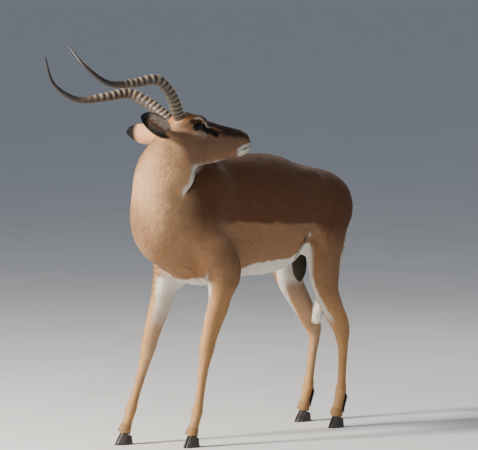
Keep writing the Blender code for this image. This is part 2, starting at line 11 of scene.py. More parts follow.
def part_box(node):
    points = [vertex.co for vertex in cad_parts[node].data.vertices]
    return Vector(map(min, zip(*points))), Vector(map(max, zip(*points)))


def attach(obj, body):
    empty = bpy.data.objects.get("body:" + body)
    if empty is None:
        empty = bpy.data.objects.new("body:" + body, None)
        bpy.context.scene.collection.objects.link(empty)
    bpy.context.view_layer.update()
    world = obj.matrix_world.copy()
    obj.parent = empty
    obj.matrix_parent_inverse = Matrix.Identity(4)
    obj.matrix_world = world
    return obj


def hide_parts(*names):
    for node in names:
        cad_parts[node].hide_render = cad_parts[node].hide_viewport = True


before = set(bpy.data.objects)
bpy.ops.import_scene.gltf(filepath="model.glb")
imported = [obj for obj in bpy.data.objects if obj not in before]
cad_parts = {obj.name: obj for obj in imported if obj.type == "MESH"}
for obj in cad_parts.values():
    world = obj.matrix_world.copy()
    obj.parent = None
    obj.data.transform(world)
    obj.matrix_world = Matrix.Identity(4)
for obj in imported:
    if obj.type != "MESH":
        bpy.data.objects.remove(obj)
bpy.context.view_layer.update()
rng = np.random.default_rng(7)

LEFT, RIGHT = -1, 1
SIDES = {"left": LEFT, "right": RIGHT}
BODY_CELL = 0.0045       # cells that the body's skin is meshed in
HEAD_CELL = 0.0018       # and the head's, for lids, nostrils and lips
EYE_RADIUS = 0.0175
EAR_LENGTH = 0.138
EAR_HALF_WIDTH = 0.032
HORN_BASE_RADIUS = 0.0195
HORN_TIP_RADIUS = 0.0022
HORN_TAPER = 1.5
HOOF_SLOPE = 0.35
HOOF_TOP = 0.034

# The head's own frame: x to the nose, y to the head's left, z up, from the back of the skull at
# the height of the mouth line. It is turned far to the left, nose up a little, left side low.
OCCIPUT = (-0.387, -0.037, 0.8645)
HEAD_YAW, HEAD_PITCH, HEAD_ROLL = 160.0, 9.5, 14.0
EYE_PLACE = (0.125, 0.0345, 0.088)
HORN_ROOT = (0.087, 0.025, 0.102)
HORN_LINE = [(0.070, 0.037, 0.141), (0.041, 0.077, 0.204), (-0.005, 0.103, 0.250), (-0.090, 0.105, 0.254),
             (-0.175, 0.120, 0.268), (-0.236, 0.122, 0.331), (-0.257, 0.086, 0.410)]
# Each ear's root, where it points and where its hollow faces, in the head's frame
EARS = {"left": ((0.030, 0.040, 0.088), (-0.045, 0.119, 0.053), (0.8, 0.5, 0.2)),
        "right": ((0.014, -0.041, 0.090), (-0.104, -0.069, 0.058), (-0.1, -1.0, 0.1))}


# ------------------------------------------------------------------------------- blended form

def unit(vector):
    vector = np.asarray(vector, float)
    return vector / np.linalg.norm(vector)


def unit_rows(rows):
    return rows / (np.linalg.norm(rows, axis=1)[:, None] + 1e-12)


def smooth_curve(rows, steps):
    """A Catmull-Rom curve through rows of values, with the given steps in each span."""
    rows = np.asarray(rows, float)
    ends = np.vstack([2 * rows[0] - rows[1], rows, 2 * rows[-1] - rows[-2]])
    t = np.linspace(0, 1, steps, endpoint=False)[:, None]
    spans = []
    for a, b, c, d in zip(ends, ends[1:], ends[2:], ends[3:]):
        spans.append(0.5 * (2 * b + (c - a) * t + (2 * a - 5 * b + 4 * c - d) * t ** 2
                            + (3 * b - a - 3 * c + d) * t ** 3))
    return np.vstack(spans + [rows[-1:]])


class Sweep:
    """Ellipses of changing size along a curve, with domed ends.

    A station is (point, half width, half size up, half size down, side), where side is the
    direction of the width and up is the curve's direction crossed with it.
    """

    taken_away = False

    def __init__(self, stations, blend, power=2.0, caps=(None, None), steps=6):
        self.points = smooth_curve([s[0] for s in stations], steps)
        self.sizes = np.maximum(smooth_curve([s[1:4] for s in stations], steps), 1e-3)
        sides = smooth_curve([s[4] for s in stations], steps)
        self.along = np.gradient(self.points, axis=0)
        self.along /= np.linalg.norm(self.along, axis=1)[:, None]
        sides -= (sides * self.along).sum(1)[:, None] * self.along
        self.side = sides / np.linalg.norm(sides, axis=1)[:, None]
        self.up = np.cross(self.along, self.side)
        self.blend, self.power = blend, power
        self.caps = [cap or self.sizes[end].mean() for cap, end in zip(caps, (0, -1))]
        reach = self.sizes.max(1)[:, None]
        self.low = (self.points - reach).min(0) - 0.3 * max(self.caps)
        self.high = (self.points + reach).max(0) + 0.3 * max(self.caps)

    def nearest(self, p):
        """Where along the curve each point is nearest, counted in samples."""
        last = len(self.points) - 2
        closest = ((self.points ** 2).sum(1) - 2 * p @ self.points.T).argmin(1)
        best, place = np.full(len(p), np.inf), np.zeros(len(p))
        for step in (-1, 0):
            j = np.clip(closest + step, 0, last)
            start, span = self.points[j], self.points[j + 1] - self.points[j]
            t = np.clip(((p - start) * span).sum(1) / (span ** 2).sum(1), 0, 1)
            gap = ((p - start - t[:, None] * span) ** 2).sum(1)
            closer = gap < best
            best[closer], place[closer] = gap[closer], (j + t)[closer]
        return place

    def distance(self, p):
        place = self.nearest(p)
        i = np.minimum(place.astype(int), len(self.points) - 2)
        f = (place - i)[:, None]
        centre, side, up, along, size = (r[i] * (1 - f) + r[i + 1] * f for r in (
            self.points, self.side, self.up, self.along, self.sizes))
        a, b, e = (((p - centre) * axis).sum(1) for axis in (side, up, along))
        height = np.where(b > 0, size[:, 1], size[:, 2])
        first, last = place <= 0, place >= len(self.points) - 1
        cap = np.where(first, self.caps[0], np.where(last, self.caps[1], 1.0))
        e = np.where(first | last, e, 0.0)
        power = self.power
        ring = ((np.abs(a) / size[:, 0]) ** power + (np.abs(b) / height) ** power) ** (1 / power)
        level = np.sqrt(ring ** 2 + (e / cap) ** 2) + 1e-9
        slope = np.sqrt((a / size[:, 0] ** 2) ** 2 + (b / height ** 2) ** 2 + (e / cap ** 2) ** 2) + 1e-9
        if power == 2.0:
            return level * (level - 1) / slope
        return np.sqrt(a * a + b * b + e * e) * (level - 1) / level


class Ball:
    """An ellipsoid: centre, three half sizes, and the directions of the first two."""

    taken_away = False

    def __init__(self, centre, sizes, blend, x_axis=(1, 0, 0), y_axis=(0, 1, 0)):
        self.centre, self.sizes, self.blend = np.array(centre, float), np.array(sizes, float), blend
        x_axis = unit(x_axis)
        y_axis = unit(np.array(y_axis, float) - np.dot(y_axis, x_axis) * x_axis)
        self.axes = np.array([x_axis, y_axis, np.cross(x_axis, y_axis)])
        reach = np.abs(self.axes.T) @ self.sizes
        self.low, self.high = self.centre - reach, self.centre + reach

    def distance(self, p):
        q = (p - self.centre) @ self.axes.T
        level = np.linalg.norm(q / self.sizes, axis=1) + 1e-9
        slope = np.linalg.norm(q / self.sizes ** 2, axis=1) + 1e-9
        return level * (level - 1) / slope


class Hollow(Ball):
    """A ball that is taken away instead of added."""

    taken_away = True


class Group:
    """Forms that blend with each other first and only then with the rest."""

    taken_away = False

    def __init__(self, forms, blend):
        self.forms, self.blend = forms, blend
        self.low = np.min([form.low for form in forms], axis=0)
        self.high = np.max([form.high for form in forms], axis=0)

    def distance(self, p):
        return field(self.forms, p, .04)


def soft_min(a, b, blend):
    overlap = np.maximum(blend - np.abs(a - b), 0) / blend
    return np.minimum(a, b) - overlap ** 2 * blend / 4


def field(forms, p, reach=None):
    """Signed distance to the blended forms, or only near them when a reach is given."""
    d = np.full(len(p), 0.5)
    for form in forms:
        near = slice(None)
        if reach is not None:
            pad = form.blend + reach
            near = np.flatnonzero(((p > form.low - pad) & (p < form.high + pad)).all(1))
            if not len(near):
                continue
        sign = -1 if form.taken_away else 1
        d[near] = sign * soft_min(sign * d[near], form.distance(p[near]), form.blend)
    return d


def sampled(forms, cell, low, high, block=8):
    """The field on a grid of cells, worked out only in the blocks near the surface."""
    size = cell * block
    counts = np.ceil((np.array(high) - low) / size).astype(int)
    blocks = np.stack(np.meshgrid(*map(np.arange, counts), indexing="ij"), -1).reshape(-1, 3)
    coarse = field(forms, low + (blocks + 0.5) * size)
    grid = np.ones(counts * block + 1, np.float32)
    fill = np.where(coarse.reshape(counts) < 0, -1, 1)
    grid[:-1, :-1, :-1] = fill.repeat(block, 0).repeat(block, 1).repeat(block, 2)
    step = np.arange(block + 1)
    offsets = np.stack(np.meshgrid(step, step, step, indexing="ij"), -1).reshape(-1, 3)
    for part in np.array_split(blocks[np.abs(coarse) < 1.3 * size], 24):
        index = (part[:, None] * block + offsets).reshape(-1, 3)
        grid[tuple(index.T)] = field(forms, low + index * cell, size)
    for axis in range(3):      # a light blur keeps sharp folds from pinching
        ahead = np.swapaxes(grid, 0, axis)
        ahead[1:-1] = (ahead[:-2] + 2 * ahead[1:-1] + ahead[2:]) / 4
    fill_crossings(grid)
    return grid


def fill_crossings(grid, level=-1e-5):
    """Fill the squares whose corners alternate, where the surface would touch itself on an edge."""
    for axis in (0, 1, 2) * 3:
        layers = np.moveaxis(grid, axis, 0)
        inside = layers < 0
        near, far = inside[:, :-1, :-1], inside[:, 1:, :-1]
        alternate = (near == inside[:, 1:, 1:]) & (far == inside[:, :-1, 1:]) & (near != far)
        for i, j, k in np.argwhere(alternate):
            layers[i, j:j + 2, k:k + 2] = np.minimum(layers[i, j:j + 2, k:k + 2], level)


def surface(grid, low, cell):
    """Surface nets: a vertex in each cell that the surface crosses, a quad round each crossed edge."""
    inside = grid < 0
    corners = np.array(np.meshgrid((0, 1), (0, 1), (0, 1), indexing="ij")).reshape(3, -1).T
    span = np.array(grid.shape) - 1
    count = sum(inside[x:span[0] + x, y:span[1] + y, z:span[2] + z].astype(np.int8) for x, y, z in corners)
    cells = np.argwhere((count > 0) & (count < 8))
    number = np.full(span, -1)
    number[tuple(cells.T)] = np.arange(len(cells))
    total, hits, quads = np.zeros((len(cells), 3)), np.zeros(len(cells)), []
    for axis in range(3):
        ahead = np.eye(3, dtype=int)[axis]
        for corner in corners[corners[:, axis] == 0]:
            a = grid[tuple((cells + corner).T)].astype(float)
            b = grid[tuple((cells + corner + ahead).T)].astype(float)
            crossed = (a < 0) != (b < 0)
            t = np.where(crossed, a / np.where(crossed, a - b, 1), 0)
            total += (corner + t[:, None] * ahead) * crossed[:, None]
            hits += crossed
        u, v = (axis + 1) % 3, (axis + 2) % 3
        start, end = [slice(None)] * 3, [slice(None)] * 3
        start[axis], end[axis] = slice(0, -1), slice(1, None)
        edges = np.argwhere(inside[tuple(start)] != inside[tuple(end)])
        outward = inside[tuple(edges.T)]
        ring = []
        for back_u, back_v in ((1, 1), (0, 1), (0, 0), (1, 0)):
            cell_index = edges.copy()
            cell_index[:, u] -= back_u
            cell_index[:, v] -= back_v
            ring.append(number[tuple(cell_index.T)])
        ring = np.stack(ring, 1)
        ring[~outward] = ring[~outward, ::-1]
        quads.append(ring)
    return low + (cells + total / hits[:, None]) * cell, np.vstack(quads)


# ------------------------------------------------------------------------------------ anatomy

def head_axes():
    """The head's forward, left and up directions."""
    yaw, pitch, roll = map(radians, (HEAD_YAW, HEAD_PITCH, HEAD_ROLL))
    forward = np.array([-cos(yaw) * cos(pitch), -sin(yaw) * cos(pitch), sin(pitch)])
    level_left = unit(np.cross((0, 0, 1), forward))
    left = cos(roll) * level_left - sin(roll) * np.cross(forward, level_left)
    return np.array([forward, left, np.cross(forward, left)])


HEAD = head_axes()


def on_head(x, y, z):
    """The place of a point that is given in the head's frame."""
    return np.array(OCCIPUT) + np.array([x, y, z]) @ HEAD


def along_head(x, y, z):
    """The direction of a vector that is given in the head's frame."""
    return np.array([x, y, z], float) @ HEAD


def across(rows, offset=0.0):
    """Stations in a plane of constant y from rows of x, z, half width, up and down."""
    return [((x, offset, z), w, u, d, (0, 1, 0)) for x, z, w, u, d in rows]


def trunk_forms():
    """Barrel, chest, and on each side the shoulder, the upper arm and the thigh."""
    barrel = [(-.350, .700, .050, .085, .120), (-.290, .690, .078, .140, .170),
              (-.210, .685, .090, .188, .200), (-.100, .680, .110, .203, .200),
              (.000, .680, .127, .203, .180), (.100, .680, .134, .203, .182),
              (.190, .682, .131, .188, .160), (.270, .692, .115, .157, .120),
              (.350, .700, .095, .127, .085), (.415, .700, .075, .100, .075),
              (.447, .695, .056, .080, .060)]
    forms = [Sweep(across(barrel), blend=.05, power=2.3, caps=(None, .020)),
             Ball((-.372, 0, .672), (.080, .080, .110), .06, x_axis=(.9, 0, .3))]
    for side in (LEFT, RIGHT):
        forms.append(Ball((-.215, side * .073, .728), (.062, .034, .105), .05, x_axis=(.94, 0, -.35)))
        upper_arm = [((-.262, side * .088, .668), .030, .045, .045),
                     ((-.255, side * .098, .625), .034, .046, .046),
                     ((-.190, side * .104, .560), .034, .052, .052),
                     ((-.180, side * .102, .510), .033, .046, .050)]
        forms.append(Sweep([s + ((0, 1, 0),) for s in upper_arm], blend=.05))
        forms.append(Ball((.345, side * .060, .712), (.124, .058, .095), .05, x_axis=(1, 0, -.25)))
    return forms


def neck_forms():
    """The neck turns about its own length: its throat side faces forward, then left, then back."""
    rows = [((-.215, 0, .745), .085, .135, .170, 0), ((-.300, 0, .720), .088, .130, .150, 5),
            ((-.358, 0, .740), .084, .110, .118, 20), ((-.384, -.004, .790), .076, .090, .092, 60),
            ((-.385, -.016, .842), .068, .080, .082, 100), ((-.384, -.030, .885), .056, .068, .066, 135),
            (tuple(on_head(.03, 0, .05)), .046, .050, .060, 160)]
    stations = [(p, w, u, d, (sin(radians(turn)), -cos(radians(turn)), 0)) for p, w, u, d, turn in rows]
    throat = Ball((-.352, -.078, .842), (.042, .030, .055), .035, x_axis=(.94, -.34, 0), y_axis=(.34, .94, 0))
    return [Sweep(stations, blend=.05, power=2.1, steps=9), throat]


def head_forms():
    """The skull, its crown, and on each side the brow over the eye and the cheek."""
    forward, left = along_head(1, 0, 0), along_head(0, 1, 0)
    rows = [(.010, .058, .040, .036, .040), (.045, .056, .051, .062, .066), (.085, .050, .053, .078, .074),
            (.120, .046, .048, .081, .072), (.150, .040, .039, .074, .066), (.185, .032, .031, .066, .058),
            (.220, .026, .026, .056, .048), (.255, .020, .0245, .047, .043), (.280, .018, .0225, .040, .036),
            (.293, .018, .0185, .032, .027)]
    skull = [(tuple(on_head(x, 0, z)), w, u, d, left) for x, z, w, u, d in rows]
    forms = [Sweep(skull, blend=.03, power=2.2, caps=(.03, .012), steps=7),
             Ball(on_head(.090, 0, .120), (.034, .046, .030), .03, forward, left)]
    for side in (LEFT, RIGHT):
        forms.append(Ball(on_head(.125, side * .036, .106), (.034, .0165, .019), .025, forward, left))
        forms.append(Ball(on_head(.075, side * .032, .020), (.050, .018, .045), .03, forward, left))
    return [Group(forms, blend=.022)]


# Half width, back and front of a leg, from its top to the pastern
FORELEG = [(.036, .050, .053), (.034, .045, .044), (.029, .041, .040), (.025, .035, .036),
           (.022, .0285, .0285), (.0225, .026, .0275), (.020, .022, .022), (.015, .018, .018),
           (.0135, .016, .016), (.014, .016, .016), (.0175, .020, .018), (.015, .0165, .0165),
           (.019, .020, .020)]
HINDLEG = [(.050, .100, .102), (.052, .088, .086), (.046, .065, .068), (.037, .056, .056),
           (.030, .047, .047), (.0235, .042, .041), (.0205, .040, .035), (.0205, .034, .028),
           (.0175, .022, .020), (.015, .0165, .0165), (.014, .015, .015), (.0185, .020, .018),
           (.016, .0175, .0175), (.0195, .0205, .0205)]
# Where each leg's centre line runs: x and z, at the same stations
LEG_LINES = {
    "foreleg_left": [(-.185, .530), (-.200, .490), (-.212, .435), (-.236, .383), (-.258, .331),
                     (-.268, .298), (-.275, .272), (-.283, .238), (-.295, .180), (-.305, .135),
                     (-.313, .108), (-.322, .078), (-.336, .048)],
    "foreleg_right": [(-.222, .530), (-.237, .480), (-.253, .427), (-.276, .378), (-.296, .328),
                      (-.309, .296), (-.319, .268), (-.333, .232), (-.356, .180), (-.377, .135),
                      (-.390, .108), (-.402, .078), (-.418, .048)],
    "hindleg_left": [(.335, .680), (.318, .600), (.305, .535), (.306, .470), (.320, .425), (.352, .370),
                     (.378, .330), (.388, .300), (.393, .265), (.394, .225), (.389, .150), (.384, .115),
                     (.376, .080), (.364, .048)],
    "hindleg_right": [(.345, .680), (.343, .600), (.340, .535), (.352, .475), (.378, .433), (.412, .388),
                      (.446, .340), (.474, .300), (.478, .265), (.471, .225), (.457, .150), (.449, .115),
                      (.439, .080), (.426, .048)]}
LEG_OFFSET = {"foreleg": [.102], "hindleg": [.060, .078, .090, .095]}
FOOT_TURN = {"foreleg": 8.0, "hindleg": 5.0}     # how far the toes point outwards, in degrees


def leg_place(leg, index):
    """The point of a leg's centre line at a station."""
    kind, side = leg.split("_")
    offsets = LEG_OFFSET[kind]
    x, z = LEG_LINES[leg][index]
    index %= len(LEG_LINES[leg])
    return np.array([x, SIDES[side] * offsets[min(index, len(offsets) - 1)], z])


def leg_forms():
    forms = []
    for leg in LEG_LINES:
        sizes = FORELEG if leg.startswith("fore") else HINDLEG
        stations = [(tuple(leg_place(leg, i)), *size, (0, 1, 0)) for i, size in enumerate(sizes)]
        forms.append(Sweep(stations, blend=.04))
    for side in (LEFT, RIGHT):      # the hollow in front of each thigh, under the flank
        forms.append(Hollow((.228, side * .095, .545), (.024, .050, .075), .035, x_axis=(.97, 0, -.25)))
    return forms


TAIL = [((.450, 0, .775), .020), ((.496, 0, .738), .018), ((.515, .002, .640), .015),
        ((.505, .010, .540), .017), ((.478, .026, .465), .024), ((.450, .040, .400), .028),
        ((.434, .047, .330), .010)]
SCROTUM = Ball((.292, 0, .520), (.025, .026, .056), .015)


def tail_forms():
    stations = [(place, .85 * radius, radius, radius, (0, 1, 0)) for place, radius in TAIL]
    return [Sweep(stations, blend=.012, caps=(None, .012))]


# ------------------------------------------------------------------------------------- detail

def channel(path, radius, blend, side, steps=6):
    """A narrow round channel along a path."""
    cut = Sweep([(tuple(p), radius, radius, radius, side) for p in path], blend, steps=steps)
    cut.taken_away = True
    return cut


def ridge_along(path, blend, side):
    """A round form along a path of places and radii."""
    return Sweep([(place, radius, radius, radius, side) for place, radius in path], blend)


EYE_AXIS = (0.27, 0.95, 0.13)         # the way the left eye looks, in the head's frame
LIP_LINE = [(.3035, .002, .004), (.299, .011, .002), (.286, .0185, -.003), (.266, .0215, -.005),
            (.245, .0235, -.003)]


def mirrored(point, side):
    """A point of the head's left half, taken to the given side."""
    return point[0], -side * point[1], point[2]


def face_forms():
    """Lids, tear ducts, nostrils, lips and the muscles and bones that show on the head."""
    forms = []
    for side in (LEFT, RIGHT):
        def at(x, y, z):
            return on_head(*mirrored((x, y, z), side))

        def way(x, y, z):
            return along_head(*mirrored((x, y, z), side))
        look = unit(EYE_AXIS)
        lids = np.array(EYE_PLACE) + .0165 * look
        forms += [
            Ball(at(.100, .0465, .064), (.036, .005, .008), .012, way(1, .05, -.12), way(0, 1, 0)),
            Ball(at(*EYE_PLACE), (.0200, .0200, .0200), .009),
            Ball(at(.289, .0135, .028), (.010, .0065, .010), .007, way(1, -.3, -.3), way(.3, 1, 0)),
            Ball(at(.268, .009, -.010), (.022, .012, .010), .010, way(1, 0, .1), way(0, 1, 0)),
            Ball(at(.082, .030, .114), (.022, .020, .020), .014),
            Hollow(at(*lids), (.0160, .0150, .0092), .0025, way(.95, -.25, -.20), way(*look)),
            Hollow(at(.149, .0415, .073), (.010, .0040, .0028), .004, way(.85, -.3, -.42), way(.3, 1, 0)),
            Hollow(at(.299, .0125, .024), (.0070, .0030, .0068), .003, way(.7, .5, -.35), way(-.5, .8, 0)),
            channel([on_head(*mirrored(p, side)) for p in LIP_LINE], .0014, .003, along_head(0, 1, 0),
                    steps=5)]
    forms.append(Hollow(on_head(.307, 0, .013), (.004, .0012, .010), .003, along_head(1, 0, 0),
                        along_head(0, 1, 0)))
    return forms


def ear_base_forms():
    forms = []
    for name in SIDES:
        root, tip, _ = EARS[name]
        forms.append(Ball(on_head(*(np.array(root) + .002 * unit(tip))), (.019, .0155, .0155), .014,
                          along_head(*tip), along_head(0, 0, 1)))
    return forms


def body_detail_forms():
    """Bones and muscles that show under the coat of the trunk and legs."""
    forms = []
    for side in (LEFT, RIGHT):
        shoulder_blade = [((-.190, side * .048, .845), .010), ((-.225, side * .078, .770), .012),
                          ((-.258, side * .103, .690), .012), ((-.268, side * .116, .650), .014)]
        flank_fold = [((.150, side * .112, .630), .008), ((.195, side * .112, .590), .010),
                      ((.235, side * .108, .540), .014)]
        forms += [ridge_along(shoulder_blade, .035, (1, 0, 0)),
                  Ball((.232, side * .084, .806), (.030, .012, .014), .045),
                  ridge_along(flank_fold, .030, (0, 1, 0))]
    for leg in LEG_LINES:
        if leg.startswith("hind"):      # beside the tendon above each hock
            for out in (-1, 1):
                path = [leg_place(leg, i) + (.012, out * .0245, 0) for i in (4, 5, 6)]
                forms.append(channel(path, .004, .014, (0, 1, 0)))
    return forms


def all_forms():
    skull = head_forms()[0]
    head = Group(skull.forms + ear_base_forms() + face_forms(), skull.blend)
    return (trunk_forms() + body_detail_forms() + neck_forms() + [head] + leg_forms() + tail_forms()
            + [SCROTUM])


FORMS = all_forms()

# Where the hair lies: along each sweep's curve, one way or the other
TRUNK, NECK, SKULL, TAIL_SWEEP = trunk_forms()[0], neck_forms()[0], head_forms()[0].forms[0], tail_forms()[0]
SKULL_GROUP = head_forms()[0]
LEG_SWEEPS = dict(zip(LEG_LINES, leg_forms()))
LIES = [(TRUNK, 1), (NECK, -1), (SKULL, -1), (TAIL_SWEEP, 1)] + [(s, 1) for s in LEG_SWEEPS.values()]
AT_TRUNK, AT_NECK, AT_SKULL, AT_TAIL, AT_LEGS = range(5)      # their numbers; the legs follow in order
# Each one's tile of the unwrap: corner and size
TILES = [(0, 0, .5, .5), (.5, 0, .25, .25), (.5, .25, .25, .25), (.75, 0, .25, .25), (0, .5, .25, .5),
         (.25, .5, .25, .5), (.5, .5, .25, .5), (.75, .5, .25, .5)]


def lie_of(p, normals):
    """At each point: which sweep is nearest, the way the hair lies, and a place on the unwrap."""
    gaps, ways, places = [], [], []
    for (sweep, sign), (tu, tv, su, sv) in zip(LIES, TILES):
        place = sweep.nearest(p)
        i = np.minimum(place.astype(int), len(sweep.points) - 2)
        f = (place - i)[:, None]
        centre, side, up, along = (r[i] * (1 - f) + r[i + 1] * f for r in (
            sweep.points, sweep.side, sweep.up, sweep.along))
        out = p - centre
        gaps.append(sweep.distance(p))
        ways.append(sign * along)
        turn = np.arctan2((out * side).sum(1), (out * up).sum(1)) / (2 * pi) + .5
        places.append(np.stack([tu + su * (.02 + .96 * turn),
                                tv + sv * (.02 + .96 * place / (len(sweep.points) - 1))], 1))
    gaps, ways, places = np.array(gaps), np.array(ways), np.array(places)
    nearest = gaps.argmin(0)
    weight = np.exp(-(gaps - gaps.min(0)) / .014)[..., None]
    way = (ways * weight).sum(0) / weight.sum(0)
    way[:, 2] -= .18 * np.isin(nearest, (AT_TRUNK, AT_NECK))
    way -= (way * normals).sum(1)[:, None] * normals
    way /= np.linalg.norm(way, axis=1)[:, None] + 1e-9
    return nearest, way, places[nearest, np.arange(len(p))]


# ----------------------------------------------------------------------------------- markings and painted light

def rgb(red, green, blue):
    """A display colour from 0 to 255 as a linear one."""
    c = np.array([red, green, blue]) / 255
    return np.where(c < .04045, c / 12.92, ((c + .055) / 1.055) ** 2.4)


SADDLE, FLANK, WHITE, NECK_TAN = rgb(112, 74, 50), rgb(166, 125, 90), rgb(238, 233, 220), rgb(207, 163, 120)
FACE, FOREHEAD, BRIDGE, BLACK = rgb(156, 118, 90), rgb(192, 132, 84), rgb(56, 40, 32), rgb(12, 10, 9)
LEG_TAN, NOSE, LID_AND_BROW_SHADE, SCROTAL_SHADED = rgb(204, 157, 106), rgb(34, 28, 27), rgb(24, 18, 16), rgb(62, 54, 48)


def ramp(value, start, end):
    t = np.clip((value - start) / (end - start), 0, 1)
    return t * t * (3 - 2 * t)


def mix(colour, other, share):
    return colour + (other - colour) * np.clip(share, 0, 1)[:, None]


def speckle(p, size, seed=0):
    """Smooth noise from -1 to 1 with bumps of about the given size."""
    q = p / size
    base = np.floor(q).astype(np.int64)
    f = q - base
    f = f * f * (3 - 2 * f)
    total = 0
    for corner in np.ndindex(2, 2, 2):
        n = base + np.array(corner)
        h = (n[:, 0] * 73856093) ^ (n[:, 1] * 19349663) ^ (n[:, 2] * 83492791) ^ (seed * 2654435)
        h = (h ^ (h >> 13)) * 1274126177 & 0x7fffffff
        w = np.prod(np.where(np.array(corner), f, 1 - f), axis=1)
        total = total + w * (h / 0x3fffffff - 1)
    return total


def near_path(p, path):
    """Distance from each point to a broken line."""
    best = np.full(len(p), 9.0)
    for a, b in zip(np.array(path[:-1]), np.array(path[1:])):
        t = np.clip((p - a) @ (b - a) / ((b - a) @ (b - a)), 0, 1)
        best = np.minimum(best, np.linalg.norm(p - a - t[:, None] * (b - a), axis=1))
    return best


def head_place(p):
    """Points in the head's frame, both halves folded onto one."""
    h = (p - np.array(OCCIPUT)) @ HEAD.T
    return np.stack([h[:, 0], np.abs(h[:, 1]), h[:, 2]], 1)


def streaks(c, p, blur, rows):
    """Lay colours along broken lines: colour, share, outer and inner radius, waver and line."""
    for colour, share, outer, inner, waver, line in rows:
        c = mix(c, colour, share * ramp(near_path(p, line) + waver * blur, outer, inner))
    return c


# On the head, in its own frame: a painted highlight beside the bridge, in the forehead's tan, and the dark
# crown
LIT_STREAK_AND_CROWN = [
    # painted highlight: a streak of light beside the bridge
    (FOREHEAD * .8, .7, .008, .003, 1, [(.185, .028, .078), (.205, .024, .066)]),
    (BRIDGE * .7, 1, .020, .010, 1, [(.088, .0, .150), (.112, .0, .148)])]
# Upper lip, brow, under the eye, tear gland, lids, and a dark patch above the eye that is partly painted
# shade under the brow
FACE_MARKS = [
    (WHITE, .8, .0060, .0030, 0, [(.303, .012, .006), (.285, .020, .005), (.268, .023, .003)]),
    (WHITE, .9, .0050, .0022, .5, [(.112, .056, .118), (.134, .051, .114), (.150, .042, .098),
                                   (.160, .037, .083), (.178, .031, .080)]),
    (WHITE, .22, .010, .003, 0, [(.100, .056, .074), (.122, .054, .064), (.142, .046, .062)]),
    (BLACK * 1.5, .95, .0130, .0070, .6, [(.150, .041, .075), (.170, .036, .068), (.186, .033, .056)]),
    (LID_AND_BROW_SHADE, 1, .0135, .0105, 0, [(.116, .053, .088), (.125, .056, .090), (.146, .044, .080)]),
    # above the eye: dark, partly painted shade under the brow
    (LID_AND_BROW_SHADE, .9, .0110, .0060, .5, [(.104, .056, .108), (.118, .055, .103), (.132, .051, .098)])]
# Lower edge of the dark bridge: along the head, and how high
BRIDGE_EDGE = ([.13, .155, .185, .22, .26, .30], [.112, .092, .062, .048, .034, .022])


def head_colour(p):
    """The markings of the head, the same on both halves, with a painted highlight beside the bridge and
    painted shade above the eyes.
    """
    h = head_place(p)
    x, y, z = h.T
    blur = .004 * speckle(p, .012, 3)
    c = mix(np.tile(FACE, (len(p), 1)), NECK_TAN, ramp(x, .07, .01))
    crown = ramp(z - (.142 - .30 * x + .35 * np.maximum(x - .2, 0)), -.014, .004)
    c = mix(c, FOREHEAD, crown * ramp(x, .175, .150))
    above = z - np.interp(x, *BRIDGE_EDGE)
    c = mix(c, BRIDGE, .9 * ramp(above + 1.5 * blur, -.014, .008) * ramp(x, .135, .160))
    c = streaks(c, h, blur, LIT_STREAK_AND_CROWN)
    under = ramp(z + .25 * np.maximum(x - .22, 0) + blur, -.016, -.030) * ramp(x, .02, .05)
    c = mix(c, WHITE, .85 * under)
    c = mix(c, WHITE, ramp(x + .6 * blur, .243, .256) * ramp(z + .5 * blur, .004, -.002))
    c = streaks(c, h, blur, FACE_MARKS)
    c = mix(c, NOSE, ramp(x + .45 * (z - .02) - .25 * y, .2935, .2975) * ramp(z, .005, .009))
    return mix(c, NOSE, .9 * ramp(near_path(h, LIP_LINE), .0030, .0016))


def ear_back_colour(s):
    """Colour along the back of an ear, from its root to its tip."""
    c = np.tile(rgb(196, 148, 106), (len(s), 1))
    return mix(c, BLACK, ramp(s, .62, .80))


# Upper edge of the white belly: along the body, and how high
BELLY_EDGE = ([-.34, -.27, -.20, -.079, -.029, .056, .119, .147, .155, .30, .36],
              [.500, .512, .515, .538, .548, .554, .555, .570, .600, .590, .560])
THROAT_MARKS = [
    (WHITE, .95, .024, .013, 1.2, [(-.300, -.122, .872), (-.318, -.110, .850), (-.335, -.096, .825),
                                   (-.352, -.090, .795)])]
# Painted shade in the cleft before each thigh, partly its dark bare skin, and a painted highlight on the fold
# over it
CLEFT_SHADE_MARKS = [
    (BLACK * 2, .70, .0110, .0030, .3, [(.160, .127, .616), (.156, .121, .598), (.153, .112, .575),
                                        (.152, .098, .552)])]
FOLD_HIGHLIGHT = (.189, .127, .626)


def neck_colour(p, blur, below):
    """Pale, redder along the crest, white on the throat; and how far along the neck each point is."""
    place = NECK.nearest(p)
    i = np.round(place).astype(int)
    t = place / (len(NECK.points) - 1)
    crest = ((p - NECK.points[i]) * NECK.up[i]).sum(1) / NECK.sizes[i, 1]
    c = mix(np.tile(NECK_TAN, (len(p), 1)), SADDLE * 1.5, .45 * ramp(crest + 3 * blur, .35, .95))
    c = streaks(c, p, blur, THROAT_MARKS)
    inside = ramp(p[:, 0] + blur, -.345, -.305) * ramp(p[:, 1], -.095, -.055)      # of the neck's bend
    return mix(c, below, np.maximum(ramp(t + 3 * blur, .36, .08), inside)), t


